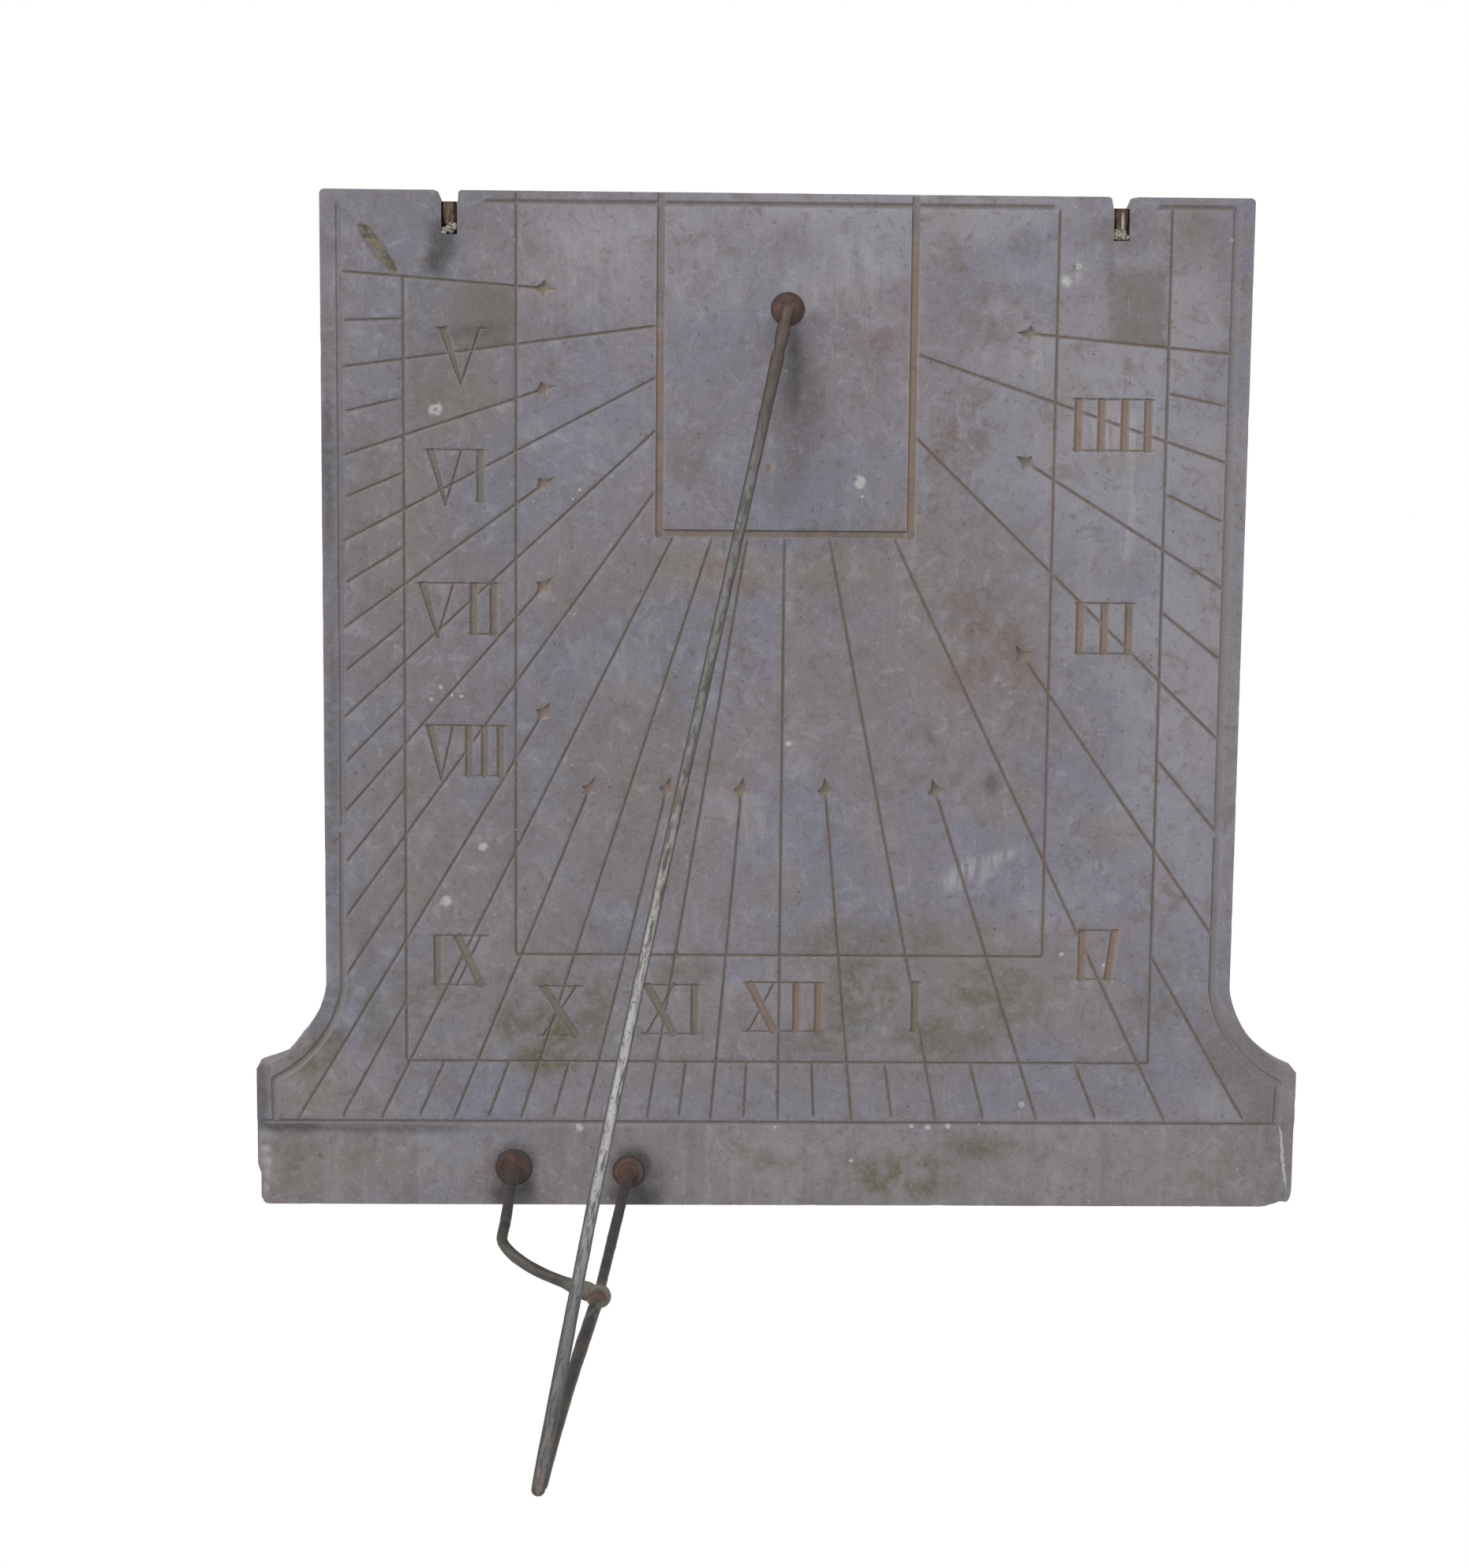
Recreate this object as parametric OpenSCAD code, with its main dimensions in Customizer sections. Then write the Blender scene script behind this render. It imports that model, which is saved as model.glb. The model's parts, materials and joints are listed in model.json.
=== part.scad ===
// Wall sundial: an upright slate dial for a wall, with an iron gnomon leaded into its face.
// The origin is the middle of the slab's flat back. +Z is up, +X is to the right of someone who faces
// the dial, and the face looks along -Y. Sizes are millimetres and degrees.

/* [Slab] */
// Width between the upright sides
body_w = 580; // [540:2:680]
// Height from the bottom edge to the top edge
slab_h = 646; // [620:2:720]
// Thickness of the slate
slab_t = 25; // [22:0.5:40]
// How far the base stands out beyond each upright side
base_step = 45; // [36:1:55]
// Height of the base's plain ends
base_h = 90; // [84:1:100]
// Height of the hollow curve between the base and an upright side
cove_h = 54; // [46:1:60]
// Radius of that hollow curve
cove_r = 70; // [55:1:90]
// Rounding of the slab's corners
corner_r = 4; // [1:0.5:7]

/* [Dial] */
// Latitude that the hour lines are laid out for
latitude = 52.5; // [48:0.5:56]
// How far the wall turns from south towards east
declination = 24; // [16:0.5:30]
// Height of the dial centre above the bottom edge
centre_rise = 575; // [560:1:590]
// Width of the plain margin outside the border groove
margin = 11.5; // [8:0.5:14]
// Distance of the top line below the top edge
top_margin = 7; // [5:0.5:10]
// Width of the outer strip that holds the quarter-hour marks
quarter_strip = 40; // [34:1:44]
// Width of the strip that holds the numerals
numeral_strip = 70; // [60:1:76]
// Width of the plain panel round the dial centre
panel_w = 158; // [120:2:180]
// How far that panel reaches below the dial centre
panel_drop = 140; // [110:2:160]
// Height of the plain band along the foot
band_h = 55; // [50:1:62]

/* [Cut marks] */
// Width of a cut line
line_w = 2.2; // [1.2:0.1:3.5]
// Depth of the lines, darts and numerals
line_depth = 1.4; // [0.8:0.1:3]
// Width of the border groove
border_w = 3.2; // [2:0.1:5]
// Width of the groove round the panel
panel_groove_w = 5; // [3:0.1:6]
// Depth of the border and panel grooves
groove_depth = 2; // [1:0.1:4]
// Length of a dart, the head of a half-hour line
dart_l = 12; // [8:0.5:16]
// Width of a dart
dart_w = 10; // [6:0.5:12]
// Distance of the side darts inside the inner frame
dart_side_inset = 17; // [10:1:30]
// Height of the foot darts above the inner frame's bottom line
dart_rise = 107; // [60:1:130]
// Height of a numeral
numeral_h = 34; // [26:1:38]
// Width of a numeral's thick strokes
thick_stroke = 6.2; // [4:0.1:6.5]
// Width of a numeral's thin strokes
thin_stroke = 1.8; // [1.2:0.1:2.6]
// Thickness of the lines along the head and foot of a numeral
serif_t = 1.2; // [0.8:0.1:2]
// How far those lines run past the outer strokes
serif_over = 5; // [3:0.5:7]

/* [Gnomon] */
// Length of the rod from the dial face to its tip
rod_l = 755; // [640:5:800]
// Angle between the rod and the face
rod_height = 33.6; // [30:0.1:38]
// Angle by which the rod leans left of the noon line
rod_lean = 12.8; // [8:0.1:18]
// Diameter of the rod
rod_d = 7; // [5:0.25:9]
// Depth under the face of the corner in the rod's buried end
rod_corner_in = 3.6; // [3.2:0.1:3.8]
// Distance of the stay's weld back from the rod's tip
weld_back = 5; // [4.5:0.5:12]
// Diameter of the stay between the slab and the brace
stay_d = 6.6; // [5:0.2:7.6]
// Diameter of the stay just beyond the brace
stay_outer_d = 7.8; // [7:0.2:8.4]
// Diameter of the stay's shoulder, which the brace's eye bears on
shoulder_d = 9; // [8.8:0.2:11]
// Length of that shoulder
shoulder_l = 3; // [2:0.5:6]
// Diameter of the stay where it is welded to the rod
stay_tip_d = 6; // [4:0.2:6.6]
// Distance of the stay's foot left of the dial centre
stay_left = 96; // [80:1:120]
// Height of the stay's foot above the bottom edge
stay_rise = 22; // [18:1:28]
// How far the brace stands out from the face
brace_out = 186; // [140:1:220]
// How far the stay is bent to the right where the brace holds it
stay_kink = 2.5; // [0:0.5:8]
// Diameter of the brace
brace_d = 6.8; // [5:0.2:8]
// Distance of the brace's foot left of the dial centre
brace_left = 170; // [160:1:190]
// Height of the brace's foot above the bottom edge
brace_rise = 25; // [20:1:32]
// Radius of the brace's bend, along its middle
bend_r = 34; // [20:1:36]
// Diameter of the eye at the brace's end
eye_d = 15; // [13:0.5:20]
// Thickness of the eye
eye_t = 4; // [3:0.5:6]

/* [Lead and iron in the slab] */
// Diameter of the lead round the rod's root
root_lead_d = 20; // [16:1:26]
// Diameter of the lead round the stay's foot
stay_lead_d = 20; // [14:1:26]
// Diameter of the lead round the brace's foot
brace_lead_d = 23; // [16:1:27]
// Depth of the lead-filled sockets
socket_depth = 16; // [12:0.5:18]
// How deep the irons reach into their lead
iron_in = 13; // [8:0.5:15]
// Width of a cramp notch at its foot
notch_w = 10.6; // [9.8:0.1:14]
// Height of a cramp notch
notch_h = 7; // [5:0.5:10]
// How much wider a notch is at its mouth
notch_flare = 3; // [0:0.5:5]
// Distance of the left notch from the middle
notch_left = 210; // [190:1:225]
// Distance of the right notch from the middle
notch_right = 207; // [190:1:225]
// Diameter of a cramp stub
pin_d = 9.6; // [8:0.1:9.7]
// Length of a cramp stub
pin_l = 13.5; // [10:0.5:20]
// Distance of a stub's front behind the face
pin_sink = 0.4; // [0.2:0.1:1]
// Height of the lead under a cramp stub
cramp_lead_h = 6.5; // [4:0.5:10]

/* [Hidden] */
$fn = 64;

// Fine steps of the rounded corners and of the hollow curves
corner_steps = 6;
cove_steps = 20;
// Smallest radius of a corner that an inset leaves
least_r = 0.2;
// Smallest sine or cosine that a length is divided by
tiny = 0.0001;
// How far a cutting shape runs past the surface that it opens
past = 1;
// How much thinner the rod is at its buried corner
rod_corner_step = 0.2;
// Turn of a round bar about its own length, which keeps its seam clear of other round pieces' seams
bar_turn = 37;

// In the face's own axes x is to the right, y is up from the dial centre and z stands out of the face
half_body = body_w / 2;
half_base = half_body + base_step;
top_y = slab_h - centre_rise;
foot_y = -centre_rise;
base_top_y = foot_y + base_h;
cove_top_y = base_top_y + cove_h;
band_y = foot_y + band_h;

// Half width and foot of each frame round the dial centre
half_border = half_body - margin;
half_outer = half_border - quarter_strip;
half_inner = half_outer - numeral_strip;
half_panel = panel_w / 2;
outer_y = band_y + quarter_strip;
inner_y = outer_y + numeral_strip;
top_line_y = top_y - top_margin;

// Middle of the hollow curve's circle, beside the upright side
chord = norm([base_step, cove_h]);
chord_gap = sqrt(cove_r * cove_r - chord * chord / 4);
cove_x = half_body + base_step / 2 + chord_gap * cove_h / chord;
cove_y = base_top_y + cove_h / 2 + chord_gap * base_step / chord;

// Height of the hollow curve at a distance x from the middle, on a circle wider by inset
function cove_at(x, inset) = cove_y - sqrt(pow(cove_r + inset, 2) - pow(x - cove_x, 2));

function unit(v) = v / norm(v);

// Arc that rounds the corner p between its neighbours a and b
function rounded(a, p, b, r) =
    let (u = unit(a - p), v = unit(b - p),
         half = acos(u * v) / 2,
         middle = p + unit(u + v) * r / sin(half),
         from = p + u * r / tan(half) - middle,
         to = p + v * r / tan(half) - middle,
         start = atan2(from[1], from[0]),
         turn = atan2(to[1], to[0]) - start,
         sweep = turn > 180 ? turn - 360 : turn < -180 ? turn + 360 : turn)
    [for (i = [0:corner_steps])
        middle + r * [cos(start + sweep * i / corner_steps), sin(start + sweep * i / corner_steps)]];

// Right-hand half of the slab's outline, inset all round, from the foot up to the top
function half_outline(inset, top, foot) =
    let (side = half_body - inset, base = half_base - inset,
         r = max(corner_r - inset, least_r),
         from = atan2(cove_at(base, inset) - cove_y, base - cove_x),
         to = atan2(cove_at(side, inset) - cove_y, side - cove_x),
         swing = to > from ? to - 360 : to,
         cove = [for (i = [0:cove_steps])
             let (a = from + (swing - from) * i / cove_steps)
             [cove_x, cove_y] + (cove_r + inset) * [cos(a), sin(a)]],
         foot_corner = rounded([0, foot], [base, foot], cove[0], r),
         base_corner = rounded([base, foot], cove[0], cove[2], r),
         top_corner = rounded(cove[cove_steps], [side, top], [0, top], r))
    concat(foot_corner, base_corner, [for (i = [2:cove_steps]) cove[i]], top_corner);

module outline(inset, top, foot) {
    right = half_outline(inset, top, foot);
    last = len(right) - 1;
    polygon(concat(right, [for (i = [last:-1:0]) [-right[i][0], right[i][1]]]));
}

// Angle of an hour line from straight down, for a number of hours after noon
function hour_angle(hours) =
    atan2(cos(latitude) * sin(15 * hours),
          cos(declination) * cos(15 * hours) - sin(declination) * sin(latitude) * sin(15 * hours));

// Distance from the dial centre, along an angle, to a frame with a half width and a foot
function reach(angle, half, foot) =
    let (side = half / max(abs(sin(angle)), tiny))
    cos(angle) > tiny ? min(side, -foot / cos(angle)) : side;

// Distance from the dial centre to the border groove, which flares out along the hollow curves
function border_reach(angle) =
    let (way = [abs(sin(angle)), -cos(angle)],
         straight = reach(angle, half_border, band_y))
    straight * way[1] > cove_at(half_border, margin) ? straight
    : let (near = way * [cove_x, cove_y],
           inside = near * near - norm([cove_x, cove_y]) ^ 2 + (cove_r + margin) ^ 2,
           band = -band_y / cos(angle))
      inside > 0 ? min(near - sqrt(inside), band) : band;

// Half hours that open and close the dial, counted from noon, and a quarter of an hour
first_half_hour = -7.5;
last_half_hour = 4.5;
quarter = 0.25;
// Share of a dart's length between its point and its widest place
dart_head = 0.6;

// One straight cut along an hour's angle, between two distances from the dial centre
module ray(hours, from, to) {
    rotate(hour_angle(hours))
        translate([-line_w / 2, -to])
            square([line_w, to - from]);
}

module hour_lines() {
    for (hours = [ceil(first_half_hour):floor(last_half_hour)]) {
        a = hour_angle(hours);
        ray(hours, reach(a, half_panel, -panel_drop), border_reach(a));
    }
}

// A half-hour line starts at its dart
module half_hour_lines() {
    dart_half = half_inner - dart_side_inset;
    for (hours = [first_half_hour:last_half_hour]) {
        a = hour_angle(hours);
        start = reach(a, dart_half, inner_y + dart_rise);
        ray(hours, start, border_reach(a));
        rotate(a)
            translate([0, -start])
                polygon([[0, dart_l * dart_head], [-dart_w / 2, 0],
                         [0, dart_l * (dart_head - 1)], [dart_w / 2, 0]]);
    }
}

module quarter_hour_marks() {
    for (hours = [first_half_hour + quarter:2 * quarter:last_half_hour]) {
        a = hour_angle(hours);
        ray(hours, reach(a, half_outer, outer_y), border_reach(a));
    }
}

// An upright or level line of the frames
module upright(x, from, to, w) {
    translate([x - w / 2, from]) square([w, to - from]);
}
module level(y, from, to, w) {
    translate([from, y - w / 2]) square([to - from, w]);
}

module frames() {
    // The outer frame's left side starts at the first half-hour line
    outer_left_top = half_outer / tan(hour_angle(first_half_hour));
    upright(-half_outer, outer_y, outer_left_top, line_w);
    upright(half_outer, outer_y, top_line_y, line_w);
    level(outer_y, -half_outer, half_outer, line_w);
    upright(-half_inner, inner_y, top_y + past, line_w);
    upright(half_inner, inner_y, top_line_y, line_w);
    level(inner_y, -half_inner, half_inner, line_w);
}

// Each numeral is its hour from noon, its letters, the gap between letters, the width of a V or an X, and
// how far it was cut to the right of its place and above it. An I is one upright stroke, and a V or an X
// is two strokes that lean.
numeral_table = [[-7, "V", 0, 22, [1, -2.6]], [-6, "VI", 12.5, 20, [-1.5, 2.9]],
                 [-5, "VII", 12.5, 20, [-1.5, 1.2]], [-4, "VIII", 10, 15, [2.9, 5.5]],
                 [-3, "IX", 12, 16, [-1, -0.7]], [-2, "X", 0, 22, [1.7, -1.8]],
                 [-1, "XI", 13, 18, [2.9, -0.5]], [0, "XII", 14, 17, [2.7, 1.4]], [1, "I", 0, 0, [-0.4, 2]],
                 [2, "II", 20, 0, [-0.1, 11.6]], [3, "III", 15.5, 0, [-0.7, -0.5]],
                 [4, "IIII", 15, 0, [1.5, -1.6]]];

function letter_w(letter, wide) = letter == "I" ? 0 : wide;

// Where the letter number i starts, from the numeral's left-hand stroke
function letter_x(letters, i, pitch, wide) =
    i == 0 ? 0 : letter_x(letters, i - 1, pitch, wide) + letter_w(letters[i - 1], wide) + pitch;

module stroke(head, foot, w) {
    half = numeral_h / 2;
    polygon([[head - w / 2, half], [foot - w / 2, -half], [foot + w / 2, -half], [head + w / 2, half]]);
}

module letter(name, x, wide) {
    if (name == "I") stroke(x, x, thick_stroke);
    if (name == "V") {
        stroke(x, x + wide / 2, thick_stroke);
        stroke(x + wide, x + wide / 2, thin_stroke);
    }
    if (name == "X") {
        stroke(x, x + wide, thick_stroke);
        stroke(x + wide, x, thin_stroke);
    }
}

// Lines run along the head and the foot, but a V has none along its foot
module numeral(letters, pitch, wide) {
    last = len(letters) - 1;
    full = letter_x(letters, last, pitch, wide) + letter_w(letters[last], wide);
    foot_from = letters[0] != "V" ? 0 : last > 0 ? letter_x(letters, 1, pitch, wide) : undef;
    translate([-full / 2, 0]) {
        for (i = [0:last]) letter(letters[i], letter_x(letters, i, pitch, wide), wide);
        level((numeral_h - serif_t) / 2, -serif_over, full + serif_over, serif_t);
        if (!is_undef(foot_from))
            level(-(numeral_h - serif_t) / 2, foot_from - serif_over, full + serif_over, serif_t);
    }
}

// The numerals stand upright, each near the place where its hour line crosses the middle of its strip
module numerals() {
    for (n = numeral_table) {
        a = hour_angle(n[0]);
        r = reach(a, half_outer - numeral_strip / 2, outer_y + numeral_strip / 2);
        translate([r * sin(a), -r * cos(a)] + n[4]) numeral(n[1], n[2], n[3]);
    }
}

module panel_groove() {
    w = panel_groove_w;
    upright(-half_panel, -panel_drop - w / 2, top_y + past, w);
    upright(half_panel, -panel_drop - w / 2, top_y + past, w);
    level(-panel_drop, -half_panel, half_panel, w);
}

// The border groove follows the outline down to the band's line
module border_groove() {
    half_w = border_w / 2;
    difference() {
        outline(margin - half_w, top_line_y + half_w, band_y - half_w);
        outline(margin + half_w, top_line_y - half_w, band_y + half_w);
    }
}

// Places the face's own axes on the slab's front
module on_face() {
    translate([0, -slab_t, centre_rise - slab_h / 2]) rotate([90, 0, 0]) children();
}

// A cut into the face, from a flat shape
module cut(depth) {
    translate([0, 0, -depth]) linear_extrude(depth + past) children();
}

// The irons' feet and meeting points, in the face's own axes
root = [0, 0, 0];
flat = cos(rod_height);
rod_way = [-sin(rod_lean) * flat, -cos(rod_lean) * flat, sin(rod_height)];
tip = rod_way * rod_l;
weld = rod_way * (rod_l - weld_back);
stay_foot = [-stay_left, foot_y + stay_rise, 0];
brace_foot = [-brace_left, foot_y + brace_rise, 0];
// Where the brace holds the stay, a share of the way out that follows the brace
share = brace_out / weld[2];
hold = stay_foot + (weld - stay_foot) * share + [stay_kink, 0, 0];
stay_way = unit(hold - stay_foot);

// Stands a shape that rises along z on the point a, and leans it towards the point b
module along(a, b) {
    v = b - a;
    translate(a)
        rotate([0, acos(v[2] / norm(v)), atan2(v[1], v[0])])
            rotate(bar_turn)
                children();
}

// A round bar between two points, which may taper to a second diameter
module bar(a, b, d, end_d = undef) {
    along(a, b) cylinder(d1 = d, d2 = is_undef(end_d) ? d : end_d, h = norm(b - a));
}

// Lead fills a round socket, all but the iron's own space
module socket(foot, d) {
    translate([foot[0], foot[1], -socket_depth]) cylinder(d = d, h = socket_depth + past);
}
module plug(foot, d) {
    translate([foot[0], foot[1], -socket_depth]) cylinder(d = d, h = socket_depth);
}

// A round bar of length l with a rounded end
module round_ended(d, l) {
    rotate_extrude()
        intersection() {
            square([d / 2, l]);
            union() {
                square([d / 2, l - d / 2]);
                translate([0, l - d / 2]) circle(d = d);
            }
        }
}

// In its lead the rod turns a corner, so that its end stands straight into the socket
module rod() {
    corner = root - rod_way * (rod_corner_in / sin(rod_height));
    along(corner, tip) round_ended(rod_d, norm(tip - corner));
    translate(corner) sphere(d = rod_d - rod_corner_step);
    translate([corner[0], corner[1], -iron_in]) cylinder(d = rod_d, h = iron_in + corner[2]);
}

// The stay's thin inner length, out to the shoulder that the brace's eye bears on
module stay_inner(out) {
    bar(stay_foot - stay_way * iron_in, stay_foot + stay_way * out, stay_d);
}

// The cramp channel is a slot with a round back, cut down the face from a notch
pin_deep = -pin_sink - pin_d / 2;
notch_floor_y = top_y - notch_h;

module channel(x, from, to, front) {
    translate([x, to, pin_deep]) rotate([90, 0, 0]) cylinder(d = pin_d, h = to - from);
    translate([x - pin_d / 2, from, pin_deep]) cube([pin_d, to - from, front - pin_deep]);
}

// A notch through the top edge, wider at its mouth by an amount on each side
module notch(x, left_flare, right_flare) {
    half = notch_w / 2;
    translate([x, 0, -slab_t - past])
        linear_extrude(slab_t + 2 * past)
            polygon([[-half, notch_floor_y], [half, notch_floor_y],
                     [half + right_flare, top_y + past], [-half - left_flare, top_y + past]]);
}

module dial_slab() {
    color([0.48, 0.46, 0.49])
    on_face()
    difference() {
        translate([0, 0, -slab_t]) linear_extrude(slab_t) outline(0, top_y, foot_y);
        cut(line_depth) {
            hour_lines();
            half_hour_lines();
            quarter_hour_marks();
            frames();
            numerals();
        }
        cut(groove_depth) {
            panel_groove();
            border_groove();
        }
        socket(root, root_lead_d);
        socket(stay_foot, stay_lead_d);
        socket(brace_foot, brace_lead_d);
        notch(-notch_left, notch_flare, 0);
        notch(notch_right, notch_flare / 2, notch_flare);
        for (x = [-notch_left, notch_right])
            channel(x, notch_floor_y - pin_l - cramp_lead_h, notch_floor_y + past, past);
    }
}

module root_lead_plug() {
    color([0.45, 0.33, 0.27])
    on_face()
    difference() {
        plug(root, root_lead_d);
        rod();
    }
}

module stay_lead_plug() {
    color([0.42, 0.36, 0.32])
    on_face()
    difference() {
        plug(stay_foot, stay_lead_d);
        stay_inner(stay_d);
    }
}

module brace_lead_plug() {
    color([0.42, 0.3, 0.25])
    on_face()
    difference() {
        plug(brace_foot, brace_lead_d);
        translate(brace_foot - [0, 0, iron_in]) cylinder(d = brace_d, h = iron_in + past);
    }
}

module gnomon_rod() {
    color([0.5, 0.49, 0.47])
    on_face() rod();
}

// The stay's outer end is cut to the rod's round side, where the two are welded
module gnomon_stay() {
    color([0.33, 0.31, 0.29])
    on_face()
    difference() {
        union() {
            stay_inner(norm(hold - stay_foot) + shoulder_l / 2);
            bar(hold, hold + stay_way * shoulder_l, shoulder_d);
            bar(hold + stay_way * shoulder_l / 2, weld, stay_outer_d, stay_tip_d);
        }
        bar(root, tip, rod_d);
    }
}

// The brace comes straight out, bends level with the eye and ends in a flat eye round the stay
module side_brace() {
    eye = hold - stay_way * eye_t / 2;
    run = [eye[0] - brace_foot[0], eye[1] - brace_foot[1]];
    run_l = norm(run);
    color([0.34, 0.31, 0.28])
    on_face()
    difference() {
        union() {
            translate(brace_foot)
                rotate(atan2(run[1], run[0])) {
                    translate([0, 0, -iron_in]) cylinder(d = brace_d, h = iron_in + eye[2] - bend_r);
                    translate([bend_r, 0, eye[2] - bend_r])
                        rotate([90, 0, 180])
                            rotate_extrude(angle = 90)
                                translate([bend_r, 0]) circle(d = brace_d);
                    translate([bend_r, 0, eye[2]])
                        rotate([0, 90, 0])
                            cylinder(d = brace_d, h = run_l - bend_r - stay_d);
                }
            bar(hold - stay_way * eye_t, hold, eye_d);
        }
        bar(hold - stay_way * eye_d, hold + stay_way * eye_d, stay_d);
    }
}

module cramp_pin(x) {
    color([0.4, 0.27, 0.2])
    on_face()
    translate([x, notch_floor_y, pin_deep]) rotate([90, 0, 0]) cylinder(d = pin_d, h = pin_l);
}

module cramp_lead(x) {
    top = notch_floor_y - pin_l;
    color([0.62, 0.58, 0.52])
    on_face() channel(x, top - cramp_lead_h, top, -pin_sink);
}

module cramp_pin_left() { cramp_pin(-notch_left); }
module cramp_pin_right() { cramp_pin(notch_right); }
module cramp_lead_left() { cramp_lead(-notch_left); }
module cramp_lead_right() { cramp_lead(notch_right); }

dial_slab();
root_lead_plug();
stay_lead_plug();
brace_lead_plug();
gnomon_rod();
gnomon_stay();
side_brace();
cramp_pin_left();
cramp_pin_right();
cramp_lead_left();
cramp_lead_right();
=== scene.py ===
import json
import math
import bpy
import numpy as np
from mathutils.geometry import delaunay_2d_cdt
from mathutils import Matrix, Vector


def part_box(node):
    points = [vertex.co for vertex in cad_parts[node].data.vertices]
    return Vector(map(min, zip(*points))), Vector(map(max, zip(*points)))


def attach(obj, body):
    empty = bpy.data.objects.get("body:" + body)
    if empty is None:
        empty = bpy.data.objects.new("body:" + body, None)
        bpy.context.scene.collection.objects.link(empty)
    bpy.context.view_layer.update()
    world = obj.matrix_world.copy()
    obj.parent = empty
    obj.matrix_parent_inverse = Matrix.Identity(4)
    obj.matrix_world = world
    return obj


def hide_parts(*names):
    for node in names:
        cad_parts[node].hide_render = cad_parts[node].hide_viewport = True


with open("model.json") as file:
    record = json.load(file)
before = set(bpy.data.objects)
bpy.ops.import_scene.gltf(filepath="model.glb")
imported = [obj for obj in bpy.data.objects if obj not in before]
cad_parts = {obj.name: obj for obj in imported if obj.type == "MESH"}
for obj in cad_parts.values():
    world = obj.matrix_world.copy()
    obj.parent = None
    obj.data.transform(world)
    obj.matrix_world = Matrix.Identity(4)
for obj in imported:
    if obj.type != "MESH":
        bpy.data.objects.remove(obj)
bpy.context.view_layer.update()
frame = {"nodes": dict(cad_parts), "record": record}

# Shapes are worked out in millimetres and in the dial's own axes: x to the right, y up from the
# dial centre, z out of the face. onDial turns them into the frame's metres.
mm = 0.001
slabLow, slabHigh = [np.array(v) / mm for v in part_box("dial_slab")]
faceY = slabLow[1]
thick = slabHigh[1] - slabLow[1]
centreDrop = 71          # dial centre below the top edge
centreZ = slabHigh[2] - centreDrop
topY = centreDrop
footY = slabLow[2] - centreZ
halfBase = slabHigh[0]


def onDial(points):
    # x stays, z runs against the frame's Y from the face, and y up from the dial centre
    p = np.asarray(points, float)
    return np.stack([p[:, 0], faceY - p[:, 2], centreZ + p[:, 1]], 1) * mm


photoSize = (1862, 1988)
cameraView = {
    "position": (-82.4, -2103.5, 274.1),   # millimetres in the frame
    "turn": (81.226, -0.570, -1.352),      # degrees about X, Y and Z
    "focalPixels": 4200,
    "sensorWidth": 36.0,
}


def makeCamera(view):
    # lens = focal length in pixels * sensor width / the picture's longer side
    data = bpy.data.cameras.new("photoCamera")
    data.sensor_width = view["sensorWidth"]
    data.lens = view["focalPixels"] * view["sensorWidth"] / max(photoSize)
    camera = bpy.data.objects.new("photoCamera", data)
    camera.location = [v * mm for v in view["position"]]
    camera.rotation_euler = [math.radians(a) for a in view["turn"]]
    bpy.context.scene.collection.objects.link(camera)
    bpy.context.scene.camera = camera


makeCamera(cameraView)
print("camera made")

# Value noise: a table of random numbers, blended smoothly between its corners
tableSide = 32
seedShift = 7.31         # moves each seed to a part of the table of its own
noiseTable = np.random.default_rng(11).random((tableSide,) * 3)


def noise(points, size, seed=0):
    # the eight corners round a point, each weighed along each axis by 3t^2 - 2t^3 of its nearness
    q = np.asarray(points, float) / size + seed * seedShift
    low = np.floor(q).astype(int)
    t = q - low
    t = t * t * (3 - 2 * t)
    total = 0
    for corner in np.ndindex(2, 2, 2):
        weight = np.prod(np.where(corner, t, 1 - t), axis=1)
        total = total + weight * noiseTable[tuple(((low + corner) % tableSide).T)]
    return total


def layered(points, size, layers=4, seed=0):
    # each layer is half the size and half the strength of the one before
    values = [noise(points, size / 2 ** k, seed + k) * 0.5 ** k for k in range(layers)]
    return sum(values) / sum(0.5 ** k for k in range(layers))


def flat(x, y):
    # places on the plane z = 0
    return np.stack([x, y, np.zeros_like(x)], 1)


def smoothStep(low, high, value):
    # 0 at low, 1 at high, and 3t^2 - 2t^3 between them
    t = np.clip((value - low) / (high - low), 0, 1)
    return t * t * (3 - 2 * t)


madeFor = {}             # each piece and the slot that it takes its finish from


def makePiece(name, points, faces, node, slotName, attributes, sharpDegrees=38):
    # points are in the dial's millimetres, and each attribute has one value for each point
    mesh = bpy.data.meshes.new(name)
    mesh.from_pydata(onDial(points).tolist(), [], faces)
    mesh.shade_smooth()
    mesh.set_sharp_from_angle(angle=math.radians(sharpDegrees))
    for key, values in attributes.items():
        layer = mesh.attributes.new(key, "FLOAT", "POINT")
        layer.data.foreach_set("value", np.asarray(values, np.float32))
    piece = bpy.data.objects.new(name, mesh)
    bpy.context.scene.collection.objects.link(piece)
    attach(piece, "root")
    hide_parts(node)
    madeFor[piece] = slotName
    print("made", name, len(points), "points", len(faces), "faces")


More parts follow.
